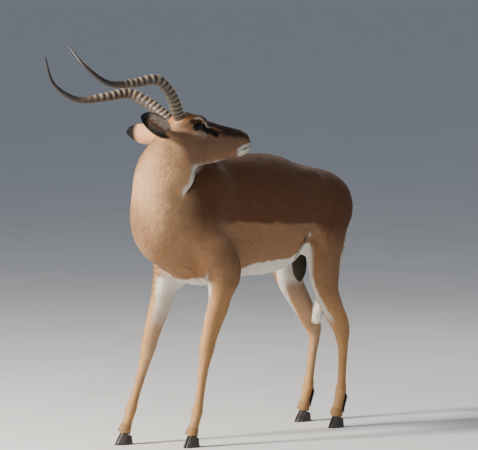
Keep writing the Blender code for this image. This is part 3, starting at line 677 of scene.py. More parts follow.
def leg_colour(leg, p, blur, back, white):
    """Tan, white high on the inner side, and black tufts over the hind fetlocks."""
    sweep = LEG_SWEEPS[leg]
    i = np.round(sweep.nearest(p)).astype(int)
    out = SIDES[leg.split("_")[1]] * (p - sweep.points[i])[:, 1] / sweep.sizes[i, 0]
    rear = ((p - sweep.points[i]) * sweep.up[i]).sum(1) / sweep.sizes[i, 1]
    z, blur = p[:, 2], 3 * blur
    c = np.tile(LEG_TAN, (len(p), 1))
    if leg.startswith("hind"):
        c = mix(c, FLANK, ramp(z, .36, .46))
        c = mix(c, SADDLE, back)
        c = mix(c, WHITE, .8 * ramp(-out + blur, .10, .60) * ramp(z, .48, .56))
        c = mix(c, WHITE, .18 * ramp(-out + blur, .20, .70) * ramp(z, .12, .25))
        strip = ramp(np.abs(out - np.interp(z, [.33, .53], [.42, -.55])) - blur, .42, .22)
        strip = strip * ramp(z, .33, .37) * ramp(z, .60, .56)
        c = mix(c, WHITE, .85 * strip * ramp(-rear, .55, .75))
        shank = ramp(z, .048, .056) * ramp(z, .120, .106)
        c = mix(c, BLACK, shank * ramp(rear - .4 * np.abs(out) + blur, -.10, .10))
    else:
        c = mix(c, FLANK, ramp(z, .40, .52))
        c = mix(c, SADDLE, back)
        inner = ramp(-out - .2 * rear + 4 / 3 * blur, .30, .75)
        c = mix(c, WHITE, .85 * inner * ramp(z, .345, .42) * ramp(z, .545, .495))
        c = mix(c, WHITE, .22 * ramp(-out + blur, .45, .85) * ramp(z, .12, .28))
    c = mix(c, c * .6, .7 * ramp(z, .052, .036))
    return mix(c, WHITE, white * ramp(out, .1, -.4) * ramp(z, .445, .485))


def body_colour(p, nearest):
    """The markings of everything but the ears, by place, with painted shade in the thigh clefts and on the
    scrotum and a painted highlight on each flank fold.
    """
    x, y, z = p.T
    across = np.abs(y)
    blur = .006 * speckle(p, .020, 1)
    shoulder, thigh = ramp(x, -.15, -.27), ramp(x, .20, .30)
    edge = .673 - .072 * x + blur - .020 * shoulder - .028 * thigh
    soft = .006 + .055 * shoulder + .042 * thigh
    back = ramp(z, edge - soft, edge + soft)
    c = mix(np.tile(FLANK, (len(p), 1)), SADDLE, back)
    c = mix(c, SADDLE * .75, .5 * back * ramp(across, .035, .010) * ramp(z, .80, .86))
    belly = np.interp(x, *BELLY_EDGE) + .5 * blur
    white = ramp(z, belly + .003, belly - .003)
    c = mix(c, WHITE, white * (nearest == AT_TRUNK))
    neck, t = neck_colour(p, blur, c)
    onto_neck = ramp(TRUNK.distance(p) - NECK.distance(p) + .6 * blur, .000, .060) * ramp(z, .46, .54)
    c = mix(c, neck, np.where(nearest < AT_TAIL, onto_neck * (1 - white * ramp(t, .2, .1)), 0.0))
    for k, leg in enumerate(LEG_LINES, start=AT_LEGS):
        mine = nearest == k
        c[mine] = leg_colour(leg, p[mine], blur[mine], back[mine], white[mine])
    folded = np.stack([x, across, z], 1)
    # painted shade in the cleft before each thigh, partly dark bare skin
    c = streaks(c, folded, blur, CLEFT_SHADE_MARKS)
    # painted highlight on the flank fold
    c = mix(c, WHITE, .85 * ramp(np.linalg.norm(folded - FOLD_HIGHLIGHT, axis=1) + .5 * blur, .0095, .0050))
    # rump: white beside the tail, with a black stripe down each buttock
    rear = ramp(x, .400, .435) * ramp(z, .44, .50) * (nearest != AT_TAIL)
    c = mix(c, WHITE, rear * ramp(across + blur, .048, .040) * ramp(z, .80, .74))
    stripe = ramp(np.abs(across - .052 - .5 * blur), .010, .006)
    c = mix(c, BLACK, rear * stripe * ramp(z, .77, .73) * ramp(z, .52, .57))
    # tail: brown with a black line down its back, then white
    tail = mix(np.tile(SADDLE, (len(p), 1)), WHITE, ramp(z, .66, .60))
    tail = mix(tail, BLACK, ramp(across, .006, .003) * ramp(x, .49, .50) * ramp(z, .60, .64))
    on_tail = (nearest == AT_TAIL) & (x > .47 - .4 * (.6 - z).clip(0))
    c = np.where(on_tail[:, None], tail, c)
    # the scrotum: grey-brown skin darkened with painted shade
    c = mix(c, SCROTAL_SHADED, ramp(SCROTUM.distance(p), .005, .001))
    return mix(c, head_colour(p), on_skull(p))


def head_side(p):
    """How far a point is on the head's side of the plane from throat to poll."""
    return (p - on_head(.038, 0, .034)) @ unit(along_head(.84, 0, .54))


def near_head(p, far, near):
    """1 for the head and the top of the neck, 0 for the withers under the jaw and all that lies far off."""
    reach = SKULL.distance(p)
    result = ramp(reach, far, near)
    low = (NECK.nearest(p) < .5 * (len(NECK.points) - 1)) & (result > 0)
    result[low] *= ramp(SKULL_GROUP.distance(p[low]), .021, .014)
    return result


def on_skull(p):
    """From 0 on the body to 1 on the head."""
    return ramp(head_side(p), -.016, .012) * near_head(p, .060, .045)


def by_skull(p):
    """1 for the head and the top of the neck, 0 for the trunk."""
    return near_head(p, .120, .100)


# --------------------------------------------------------------------------------------- skin

def components(count, faces):
    """A label for each vertex, the same for all that are joined by faces."""
    label = np.arange(count)
    while True:
        low = label[faces].min(1)
        new = label.copy()
        for k in range(faces.shape[1]):
            np.minimum.at(new, faces[:, k], low)
        new = new[new]
        if (new == label).all():
            return label
        label = new


def keep_faces(verts, faces, kept):
    faces = faces[kept]
    used, index = np.unique(faces, return_inverse=True)
    return verts[used], index.reshape(faces.shape)


def vertex_normals(verts, quads):
    a, b, c, d = (verts[quads[:, k]] for k in range(4))
    face = np.cross(c - a, d - b)
    normals = np.zeros_like(verts)
    for k in range(4):
        for axis in range(3):
            normals[:, axis] += np.bincount(quads[:, k], face[:, axis], len(verts))
    return unit_rows(normals)


TRUNK_COAT, LEG_COAT, TAIL_COAT, HEAD_COAT = .0036, .0016, .0065, .0011


def coat_depth(p):
    """How deep the skin lies under the tips of the coat."""
    legs = ramp(p[:, 2], .50, .34)
    depth = TRUNK_COAT * (1 - legs) + LEG_COAT * legs
    depth = np.where(TAIL_SWEEP.distance(p) < .004, TAIL_COAT, depth)
    return depth + (HEAD_COAT - depth) * ramp(head_side(p), -.03, .02) * by_skull(p)


# Along the bend of the neck
WRINKLES = [(-.399, -.089, .838), (-.421, -.088, .762), (-.442, -.066, .671), (-.431, -.035, .608)]


def relief(p):
    """Small folds and ribs that the skin shows, as a height."""
    x, y, z = p.T
    band = np.exp(-(near_path(p, WRINKLES) / .030) ** 2)
    warp = .006 * speckle(p, .022, 5)
    height = .0007 * band * np.sin(2 * pi * (z * .55 - y * .8 + warp) / .0085)
    ribs = ramp(z, .57, .62) * ramp(z, .78, .70) * ramp(x, -.14, -.08) * ramp(x, .17, .10)
    height += .00025 * ribs * np.sin(2 * pi * (x + .25 * (z - .6)) / .036)
    chest = ramp(x, -.16, -.22) * ramp(z, .60, .54) * ramp(z, .47, .50)
    height += .0011 * chest * np.sin(2 * pi * (z + .3 * x + 1.4 * warp) / .022)
    return height + .0004 * speckle(p, .016, 9)


def head_box():
    """The corners of an upright box round the head."""
    corners = np.array([on_head(x, y, z) for x in (-.06, .318) for y in (-.085, .085) for z in (-.10, .165)])
    return corners.min(0), corners.max(0)


BODY_SKIN_END, HEAD_SKIN_START = .016, -.020     # by head_side: the two skins overlap between them


def make_body_skin():
    """The skin of all but the head and ears: vertices, quads and outward directions."""
    low, high = np.array([-.56, -.26, -.01]), np.array([.56, .20, 1.06])
    verts, quads = surface(sampled(FORMS, BODY_CELL, low, high, block=4), low, BODY_CELL)
    side = head_side(verts)
    ahead = quads[(side[quads] > BODY_SKIN_END).all(1)]
    label = components(len(verts), ahead)
    nose = np.linalg.norm(verts - on_head(.30, 0, .01), axis=1).argmin()
    gone = (label == label[nose]) & (side > BODY_SKIN_END)
    verts, quads = keep_faces(verts, quads, ~gone[quads].any(1))
    normals = vertex_normals(verts, quads)
    side = head_side(verts)
    under = .0010 * ramp(side, -.018, -.004) * by_skull(verts)
    return verts - normals * (coat_depth(verts) + under - relief(verts))[:, None], quads, normals


def make_head_skin():
    """The finer skin of the head: vertices, quads and outward directions."""
    low, high = head_box()
    forms = [form for form in FORMS if (form.low < high).all() and (form.high > low).all()]
    grid = sampled(forms, HEAD_CELL, low, high, block=4)
    for axis in range(3):
        layers = np.moveaxis(grid, axis, 0)
        layers[0], layers[-1] = 1, 1
    verts, quads = surface(grid, low, HEAD_CELL)
    ahead = head_side(verts) > HEAD_SKIN_START
    verts, quads = keep_faces(verts, quads, ahead[quads].all(1))
    label = components(len(verts), quads)
    nose = np.linalg.norm(verts - on_head(.30, 0, .01), axis=1).argmin()
    verts, quads = keep_faces(verts, quads, (label == label[nose])[quads].all(1))
    normals = vertex_normals(verts, quads)
    return verts - normals * (coat_depth(verts) - .5 * relief(verts))[:, None], quads, normals


def ear_point(s, turn, side):
    """A point of the ear's sheet in its own frame: along, across, and out of its hollow."""
    half_width = EAR_HALF_WIDTH * np.maximum(0.04, (4 * (.07 + .92 * s) * (.93 - .92 * s)).clip(0) ** 0.6)
    curl = np.radians(165 - 115 * s ** 0.8) / 2
    radius = half_width / np.sin(np.minimum(curl, radians(90)))
    angle = turn * curl
    return np.stack([EAR_LENGTH * s, side * radius * np.sin(angle),
                     radius * (1 - np.cos(angle)) - 0.004 * np.sin(3.0 * s)], -1)


def ear_axes(name):
    root, tip, hollow = EARS[name]
    along = unit(along_head(*tip))
    out = along_head(*hollow)
    out = unit(out - (out @ along) * along)
    return on_head(*root), np.array([along, np.cross(out, along), out])


EAR_ROWS, EAR_COLUMNS, EAR_THICKNESS = 40, 26, .0024


def make_ear(name, side):
    """Both faces of an ear, closed round its rim: vertices, quads, and each vertex's place on it."""
    origin, axes = ear_axes(name)
    rows, columns = EAR_ROWS, EAR_COLUMNS
    s, turn = (grid.ravel() for grid in np.meshgrid(
        np.linspace(0, 1, rows + 1), np.linspace(-1, 1, columns + 1), indexing="ij"))
    sheet = origin + ear_point(s, turn, side) @ axes
    step = columns + 1
    i, j = np.meshgrid(np.arange(rows), np.arange(columns), indexing="ij")
    a = (i * step + j).ravel()
    quads = np.stack([a, a + 1, a + step + 1, a + step], 1)
    normals = vertex_normals(sheet, quads)
    if (normals @ axes[2]).mean() < 0:
        quads, normals = quads[:, ::-1], -normals
    rim = ramp(np.maximum(np.abs(turn), s), 1.0, .80)
    folds = .0009 * np.sin(turn * 13) * ramp(s, .75, .2) * rim
    half = (EAR_THICKNESS / 2 * (.35 + .65 * rim))[:, None]
    inner, outer = sheet + normals * (half + folds[:, None]), sheet - normals * half
    count = len(sheet)
    edge = np.concatenate([np.arange(step), np.arange(1, rows + 1) * step + columns,
                           rows * step + np.arange(columns - 1, -1, -1), np.arange(rows - 1, 0, -1) * step])
    after = np.roll(edge, -1)
    wall = np.stack([edge, edge + count, after + count, after], 1)
    faces = np.vstack([quads, quads[:, ::-1] + count, wall])
    verts = np.vstack([inner, outer])
    check = vertex_normals(verts, faces)
    if ((check[:count] * normals).sum(1)).mean() < 0:
        faces = faces[:, ::-1]
    return verts, faces, np.tile(s, 2), np.tile(turn, 2), np.repeat([True, False], count)


def ear_colour(s, turn, inside):
    """Tan behind with a black tip and rim, warm and pale in the hollow."""
    c = ear_back_colour(s)
    c = mix(c, BLACK, .85 * ramp(np.abs(turn), .90, .98) * ramp(s, .10, .30))
    dark = mix(np.tile(rgb(150, 104, 76), (len(s), 1)), rgb(214, 196, 176), .6 * ramp(np.abs(turn), .35, .75))
    dark = mix(dark, BLACK, ramp(s, .66, .84))
    dark = mix(dark, BLACK, .9 * ramp(np.abs(turn), .92, .98) * ramp(s, .2, .4))
    return np.where(inside[:, None], dark, c)


def new_piece(name, verts, faces, colours, material):
    """A smooth mesh with its colours that rides on the one body. Faces come in arrays of equal sides."""
    mesh = bpy.data.meshes.new(name)
    mesh.vertices.add(len(verts))
    mesh.vertices.foreach_set("co", (verts + SHIFT).astype(np.float32).ravel())
    sides = np.concatenate([np.full(len(part), part.shape[1]) for part in faces])
    mesh.loops.add(int(sides.sum()))
    mesh.loops.foreach_set("vertex_index", np.concatenate([part.ravel() for part in faces]).astype(np.int32))
    mesh.polygons.add(len(sides))
    mesh.polygons.foreach_set("loop_start", (np.cumsum(sides) - sides).astype(np.int32))
    mesh.update(calc_edges=True)
    layer = mesh.color_attributes.new("Coat", "FLOAT_COLOR", "POINT")
    rows = np.column_stack([colours, np.ones(len(verts))])
    layer.data.foreach_set("color", rows.astype(np.float32).ravel())
    mesh.shade_smooth()
    mesh.materials.append(material)
    piece = bpy.data.objects.new(name, mesh)
    bpy.context.scene.collection.objects.link(piece)
    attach(piece, "root")
    return piece


# ---------------------------------------------------------------------------------- materials

class Nodes:
    """A short way to write a node material."""

    def __init__(self, name):
        self.material = bpy.data.materials.new(name)
        self.material.use_nodes = True
        self.tree = self.material.node_tree
        self.shader = self.tree.nodes["Principled BSDF"]

    def add(self, kind, **values):
        node = self.tree.nodes.new(kind)
        for key, value in values.items():
            if hasattr(node, key):
                setattr(node, key, value)
            else:
                node.inputs[key.replace("_", " ")].default_value = value
        return node

    def link(self, source, target):
        self.tree.links.new(source, target)

    def noise(self, scale, detail, stretch=(1, 1, 1)):
        """Noise in the object's own space, stretched along its axes."""
        space = self.add("ShaderNodeMapping", Scale=stretch)
        self.link(self.add("ShaderNodeTexCoord").outputs["Object"], space.inputs["Vector"])
        node = self.add("ShaderNodeTexNoise", Scale=scale, Detail=detail)
        self.link(space.outputs["Vector"], node.inputs["Vector"])
        return node.outputs["Fac"]

    def marking(self):
        """The colour that the mesh carries at each point."""
        return self.add("ShaderNodeAttribute", attribute_name="Coat").outputs["Color"]

    def colour(self, source):
        self.link(source, self.shader.inputs["Base Color"])

    def set(self, **values):
        for key, value in values.items():
            self.shader.inputs[key.replace("_", " ")].default_value = value

    def ramp(self, factor, *stops):
        node = self.add("ShaderNodeValToRGB")
        elements = node.color_ramp.elements
        while len(elements) < len(stops):
            elements.new(.5)
        for element, (position, colour) in zip(elements, stops):
            element.position, element.color = position, (*colour, 1)
        self.link(factor, node.inputs["Fac"])
        return node.outputs["Color"]

    def multiply(self, a, b):
        node = self.add("ShaderNodeMix", data_type="RGBA", blend_type="MULTIPLY")
        node.inputs["Factor"].default_value = 1.0
        self.link(a, node.inputs[6])
        self.link(b, node.inputs[7])
        return node.outputs[2]

    def bump(self, height, strength, distance):
        node = self.add("ShaderNodeBump", Strength=strength, Distance=distance)
        self.link(height, node.inputs["Height"])
        self.link(node.outputs["Normal"], self.shader.inputs["Normal"])


def skin_material():
    n = Nodes("skin")
    fine = n.noise(420.0, 3.0)
    shade = n.ramp(fine, (.30, (.84, .83, .82)), (.70, (1, 1, 1)))
    mottle = n.ramp(n.noise(26.0, 2.0), (.30, (.93, .92, .91)), (.70, (1, 1, 1)))
    n.colour(n.multiply(n.multiply(n.marking(), shade), mottle))
    n.set(Roughness=.58, Specular_IOR_Level=.35)
    n.bump(fine, .45, .0008)
    return n.material


def coat_material():
    n = Nodes("coat")
    mottle = n.ramp(n.noise(60.0, 2.0), (.30, (.86, .85, .84)), (.70, (1, 1, 1)))
    n.colour(n.multiply(n.marking(), mottle))
    n.set(Roughness=.62, Specular_IOR_Level=.15, Sheen_Weight=.05, Sheen_Roughness=.5)
    return n.material


def horn_material():
    n = Nodes("horn")
    grain = n.noise(160.0, 5.0)
    n.colour(n.multiply(n.marking(), n.ramp(grain, (.25, (.58, .56, .54)), (.75, (1, 1, 1)))))
    n.set(Roughness=.46)
    n.bump(grain, .35, .0009)
    return n.material


def hoof_material():
    n = Nodes("hoof")
    grain = n.noise(220.0, 4.0, (1, 1, .15))
    n.colour(n.ramp(grain, (.3, (.016, .013, .012)), (.75, (.075, .062, .052))))
    n.set(Roughness=.38)
    n.bump(grain, .35, .0007)
    return n.material


def eye_material():
    n = Nodes("eye")
    flecks = n.ramp(n.noise(520.0, 3.0), (.3, (.6, .58, .55)), (.7, (1, 1, 1)))
    n.colour(n.multiply(n.marking(), flecks))
    n.set(Roughness=.09, IOR=1.34, Coat_Weight=.15, Coat_Roughness=.03)
    return n.material


def floor_material():
    n = Nodes("floor")
    n.colour(n.ramp(n.noise(3.0, 2.0), (.3, (.66, .65, .63)), (.7, (.70, .69, .67))))
    n.set(Roughness=.9)
    return n.material


# --------------------------------------------------------------------------------------- coat

def scatter(verts, quads, density):
    """Random roots on a mesh: which face, the place and the weights of its corners."""
    a, b, c, d = (verts[quads[:, k]] for k in range(4))
    area = .5 * np.linalg.norm(np.cross(c - a, d - b), axis=1)
    wanted = area * density
    count = np.floor(wanted + rng.random(len(wanted))).astype(int)
    face = np.repeat(np.arange(len(quads)), count)
    u, v = rng.random(len(face)), rng.random(len(face))
    weights = np.stack([(1 - u) * (1 - v), u * (1 - v), u * v, (1 - u) * v], 1)
    return face, np.einsum("nk,nkj->nj", weights, verts[quads[face]]), weights


def to_height(p, normals, height):
    """Move points along their normals to a height over the blended form, but not far."""
    return p + normals * (height - field(FORMS, p, .03)).clip(-.004, .004)[:, None]


def blades(root, normal, way, width, middle, tip):
    """Five points and three triangles for each tuft, from its root, middle and tip."""
    side = np.cross(normal, way) * (width / 2)[:, None]
    points = np.stack([root - side, root + side, middle - .8 * side, middle + .8 * side, tip], 1)
    n = len(root)
    base = (np.arange(n) * 5)[:, None]
    faces = np.stack([base + [0, 3, 1], base + [0, 2, 3], base + [2, 4, 3]], 1).reshape(-1, 3)
    return points.reshape(-1, 3), faces


def make_coat(name, root, normal, way, length, width, lift, colour, place, on_body=True):
    """One joined mesh of tufts."""
    n = len(root)
    swing = rng.normal(0, .13, n)
    side = np.cross(normal, way)
    way = way * np.cos(swing)[:, None] + side * np.sin(swing)[:, None]
    start = root - normal * .0004
    middle = root + way * (.5 * length)[:, None]
    tip = root + way * length[:, None]
    if on_body:
        depth = field(FORMS, root, .03)
        middle = to_height(middle, normal, depth + lift)
        tip = to_height(tip, normal, depth + 1.1 * lift)
    else:
        middle += normal * lift[:, None]
        tip += normal * (1.2 * lift)[:, None]
    points, faces = blades(start, normal, way, width, middle, tip)
    tone = (1 + rng.normal(0, .055, n)).clip(.8, 1.2)[:, None]
    # painted shade and light: each tuft darker at its root and lighter at its tip
    root_shade_tip_light = np.array([.90, .90, .98, .98, 1.07])
    colours = ((colour * tone)[:, None, :] * root_shade_tip_light[None, :, None]).clip(0, 1).reshape(-1, 3)
    mesh = new_piece(name, points, [faces], colours, COAT).data
    tilt = unit_rows(normal + rng.normal(0, .07, (n, 3)))
    mesh.normals_split_custom_set_from_vertices(np.repeat(tilt, 5, axis=0).astype(np.float32))
    layer = mesh.uv_layers.new(name="OFBake")
    patch = .0030 * np.array([[0, 0], [1, 0], [0, .5], [1, .5], [.5, 1]]) - .0015
    uv = (place[:, None, :] + patch[None]).clip(.0005, .9995).reshape(-1, 2)
    layer.data.foreach_set("uv", uv[faces.ravel()].astype(np.float32).ravel())


TUFT_LENGTH, TUFT_WIDTH, TUFT_DENSITY = .0170, .0015, 270000.0


def tuft_sizes(p, nearest):
    """Length, width and number per square metre: smaller and denser down the legs and on the head."""
    length = np.full(len(p), TUFT_LENGTH)
    width = np.full(len(p), TUFT_WIDTH)
    dense = np.full(len(p), TUFT_DENSITY)
    low = ramp(p[:, 2], .50, .30) * (nearest >= AT_LEGS)
    length -= .0075 * low
    width -= .0004 * low
    dense += 120000 * low
    head = on_skull(p)
    snout = head * ramp(head_place(p)[:, 0], .13, .26)
    length -= .0085 * head + .0035 * snout
    width -= .0006 * head + .0002 * snout
    dense += 330000 * head + 350000 * snout
    return length, width, dense


def bald(p):
    """Where no hair grows: in the eyes, nostrils and mouth and under horns and hooves."""
    h = head_place(p)
    x, y, z = h.T
    none = np.linalg.norm(h - np.array(EYE_PLACE), axis=1) < .0205
    none |= (x + .45 * (z - .02) - .25 * y > .2945) & (z > .006)
    none |= near_path(h, LIP_LINE) < .0022
    none |= near_path(h, [HORN_ROOT, HORN_LINE[0]]) < HORN_BASE_RADIUS * 1.02
    return (none & (SKULL.distance(p) < .045)) | (p[:, 2] < .030)


MOST_TUFTS = 64000       # in one piece, at three triangles each


def coat_roots(skins):
    """Where tufts grow on the skins, and the skin's outward direction there."""
    roots, normals = [], []
    for (verts, quads, normal), share in skins:
        centre = verts[quads].mean(1)
        nearest, _, _ = lie_of(centre, normal[quads[:, 0]])
        _, _, dense = tuft_sizes(centre, nearest)
        dense = dense * 1.0 * share(centre)
        face, p, weights = scatter(verts, quads, dense)
        roots.append(p)
        normals.append(unit_rows(np.einsum("nk,nkj->nj", weights, normal[quads[face]])))
    p, normal = np.vstack(roots), np.vstack(normals)
    keep = ~bald(p)
    return p[keep], normal[keep]


def in_fold(p, normal, tip):
    """Which tufts would end inside the body, or stand in the crease between withers and neck."""
    buried = field(FORMS, tip, .03) < -.007
    crease = (p[:, 0] > -.36) & (p[:, 0] < -.16) & (p[:, 2] > .76)
    crease[crease] = field(FORMS, p[crease] + .012 * normal[crease], .03) < .007
    return buried | crease


def coat_regions(x, nearest):
    """Which tufts belong to each region of the coat."""
    trunk, leg = nearest == AT_TRUNK, nearest - AT_LEGS
    return {"head": nearest == AT_SKULL, "neck": nearest == AT_NECK, "foreleg": (leg == 0) | (leg == 1),
            "hindleg": (leg == 2) | (leg == 3), "tail": nearest == AT_TAIL,
            "trunk_front": trunk & (x < -.10), "trunk_middle": trunk & (x >= -.10) & (x < .15),
            "trunk_rear": trunk & (x >= .15)}


def grow_coat(skins):
    """Scatter tufts over the body and head and gather them into pieces by place."""
    p, normal = coat_roots(skins)
    nearest, way, place = lie_of(p, normal)
    length, width, _ = tuft_sizes(p, nearest)
    keep = ~in_fold(p, normal, p + way * length[:, None])
    p, normal, nearest, way, place, length, width = (
        row[keep] for row in (p, normal, nearest, way, place, length, width))
    length = length * rng.uniform(.75, 1.2, len(p))
    width = width * rng.uniform(.8, 1.2, len(p))
    lift = (.0013 - .0006 * on_skull(p)) * rng.uniform(.4, 1.3, len(p))
    lift = np.where((nearest >= AT_LEGS) & (p[:, 2] < .4), .7 * lift, lift)
    colour = body_colour(p, nearest)
    for name, mine in coat_regions(p[:, 0], nearest).items():
        index = np.flatnonzero(mine)
        for k, part in enumerate(np.array_split(index, len(index) // MOST_TUFTS + 1), start=1):
            rows = (row[part] for row in (p, normal, way, length, width, lift, colour, place))
            make_coat(f"coat_{name}_{k}", *rows)


def ring_frame(sweep, place, turn):
    """On a sweep: its axis, the way round it at an angle from its up side, its sizes and its direction."""
    i = np.minimum(place.astype(int), len(sweep.points) - 2)
    f = (place - i)[:, None]
    centre, along, side, up, size = (r[i] * (1 - f) + r[i + 1] * f for r in (
        sweep.points, sweep.along, sweep.side, sweep.up, sweep.sizes))
    out = np.cos(turn)[:, None] * up + np.sin(turn)[:, None] * side
    radius = 1 / np.sqrt((np.cos(turn) / np.where(np.cos(turn) > 0, size[:, 1], size[:, 2])) ** 2
                         + (np.sin(turn) / size[:, 0]) ** 2)
    return centre, out, radius[:, None], along


def on_tile(sweep, place, turn):
    tu, tv, su, sv = TILES[[lie[0] for lie in LIES].index(sweep)]
    return np.stack([tu + su * (.02 + .96 * ((turn / (2 * pi) + .5) % 1)),
                     tv + sv * (.02 + .96 * place / (len(sweep.points) - 1))], 1)


def strands(name, root, normal, way, length, width, colour, place, lift=.001):
    """A piece of longer hair that stands on its own roots, not on the blended form."""
    n = len(root)
    make_coat(name, root, normal, unit_rows(way), length, np.full(n, width), np.full(n, lift), colour, place,
              on_body=False)


def grow_tail():
    """Long hair down the tail that draws together into its tuft."""
    n = 5600
    t = rng.random(n)
    turn = rng.uniform(0, 2 * pi, n)
    place = 12 + t * (len(TAIL_SWEEP.points) - 16)
    centre, out, radius, along = ring_frame(TAIL_SWEEP, place, turn)
    root = centre + out * radius * rng.uniform(.25, .75, n)[:, None]
    end = TAIL_SWEEP.points[-1] + TAIL_SWEEP.along[-1] * .014
    room = np.linalg.norm(end - root, axis=1)
    length = np.minimum(rng.uniform(.035, .070, n) * ramp(t, -.3, .6), room * .98)
    way = along * .65 + unit_rows(end - root) * (.35 + .5 * t[:, None]) + out * .05
    colour = mix(np.tile(WHITE, (n, 1)), SADDLE, ramp(root[:, 2], .58, .66))
    stripe = ramp(np.abs(np.sin(turn)), .30, .15) * ramp(np.cos(turn), 0, .2)
    colour = mix(colour, BLACK, stripe * ramp(root[:, 2], .60, .64))
    strands("coat_tail_tuft", root, out, way, length, .0017, colour, on_tile(TAIL_SWEEP, place, turn))


def leg_strands(name, sweep, turn, heights, sunk, flare, lengths, width, colour, lift):
    """Hair round a leg between two heights, its roots sunk into it and its tips flared out."""
    n = len(turn)
    z = sweep.points[:, 2]
    order = np.argsort(z)
    place = np.interp(rng.uniform(*heights, n), z[order], order.astype(float)).clip(0, len(z) - 1.001)
    centre, out, radius, along = ring_frame(sweep, place, turn)
    strands(name, centre + out * radius * sunk, out, along + flare * out, rng.uniform(*lengths, n), width,
            np.tile(colour, (n, 1)), on_tile(sweep, place, turn), lift)


def grow_feet():
    """A fringe over each coronet, and the black tufts at the back of the hind shanks."""
    for leg, sweep in LEG_SWEEPS.items():
        leg_strands(f"coat_{leg}_coronet", sweep, rng.uniform(-pi, pi, 900), (.040, .060), .97, .08,
                    (.008, .014), .0011, LEG_TAN * .62, .0004)
        if leg.startswith("hind"):
            leg_strands(f"coat_{leg}_tuft", sweep, rng.normal(0, .55, 1100), (.064, .112), .96, .34,
                        (.012, .021), .0013, BLACK, .0012)


def ear_sheet(name, side, s, turn):
    """Points of an ear's sheet, with the directions to its tip, across it and into its hollow."""
    origin, axes = ear_axes(name)
    step = 1e-3
    p, ahead, beside = (origin + ear_point(*at, side) @ axes for at in (
        (s, turn), (s + step, turn), (s, turn + step)))
    along, across = unit_rows(ahead - p), unit_rows(beside - p)
    inward = unit_rows(np.cross(along, across))
    return p, along, across, inward * np.sign((inward @ axes[2]).mean())


def ear_tile(s, turn):
    """A place on the unwrap, in a quarter of the trunk's tile."""
    return np.stack([.25 + .25 * (turn + 1) / 2, .25 * s], 1)


def grow_ears():
    """Short hair on the backs and rims of the ears and long pale hair in their hollows."""
    for name, side in SIDES.items():
        n = 7000
        s, turn = rng.random(n) ** .8, rng.uniform(-1, 1, n)
        p, along, _, inward = ear_sheet(name, side, s, turn)
        length = rng.uniform(.005, .009, n) * (1.1 - .5 * s)
        strands(f"coat_ear_{name}_back", p - inward * .0012, -inward, along, length, .0010,
                ear_back_colour(s), ear_tile(s, turn), .0004)
        n = 1500
        s, edge = rng.uniform(.05, .98, n), rng.choice([-1.0, 1.0], n)
        p, along, across, inward = ear_sheet(name, side, s, edge * rng.uniform(.93, 1.0, n))
        way = along + .35 * across * edge[:, None]
        dark = mix(ear_back_colour(s), BLACK, .85 * ramp(s, .08, .30))
        strands(f"coat_ear_{name}_rim", p, inward, way, rng.uniform(.005, .010, n), .0009, dark,
                ear_tile(s, (edge + 1) / 1.005 - 1), .0002)
        n = 1000
        s, edge = .02 + .66 * rng.random(n) ** 1.3, rng.choice([-1.0, 1.0], n)
        turn = edge * rng.uniform(.45, .92, n)
        p, along, across, inward = ear_sheet(name, side, s, turn)
        pale = mix(np.tile(rgb(240, 230, 214), (n, 1)), rgb(160, 136, 112), rng.random(n) ** 2)
        way = along * .9 - across * edge[:, None] * .45 + inward * .38
        strands(f"coat_ear_{name}_hollow", p + inward * .0010, inward, way, rng.uniform(.012, .027, n),
                .0010, pale, ear_tile(s, turn), .0015)


# -------------------------------------------------------------------------------------- horns

RINGS, RINGS_START, RINGS_END = 19, .055, .66      # how many, and between which shares of the length
HORN_ROWS, HORN_AROUND = 420, 24


def tube_faces(rows, around):
    """Quads round a tube of rings, and triangles to two points more that close its end and its start."""
    i, j = np.meshgrid(np.arange(rows - 1), np.arange(around), indexing="ij")
    a, b = (i * around + j).ravel(), (i * around + (j + 1) % around).ravel()
    j, last, count = np.arange(around), (rows - 1) * around, rows * around
    after = (j + 1) % around
    return [np.stack([a, b, b + around, a + around], 1),
            np.vstack([np.stack([last + j, last + after, np.full(around, count)], 1),
                       np.stack([after, j, np.full(around, count + 1)], 1)])]


def horn_axis(side):
    """Even places along a horn: the centres, and the share of the length that each stands at."""
    line = smooth_curve([HORN_ROOT] + HORN_LINE, 40)
    line[:, 1] *= -side
    centres = np.array([on_head(*p) for p in line])
    gap = np.linalg.norm(np.diff(centres, axis=0), axis=1)
    run = np.concatenate([[0], np.cumsum(gap)])
    s = np.linspace(0, run[-1], HORN_ROWS)
    return np.stack([np.interp(s, run, centres[:, k]) for k in range(3)], 1), s / run[-1]


def horn_colour(t, crest, groove_shade, facing):
    """Pale on the crests, painted shade in the step after each crest, dark behind and towards the tip."""
    tone = mix(np.tile(rgb(84, 72, 60), (len(t), 1)), rgb(152, 134, 112), ramp(crest, .10, .75))
    # painted shade in the step after each crest
    tone = mix(tone, rgb(30, 26, 23), .9 * groove_shade)
    tone = mix(tone, rgb(48, 41, 36), .6 * ramp(facing, .55, .15))
    tone = mix(tone, rgb(36, 31, 29), ramp(t, .60, .72))
    return mix(tone, rgb(96, 80, 66), ramp(t, .075, .045))


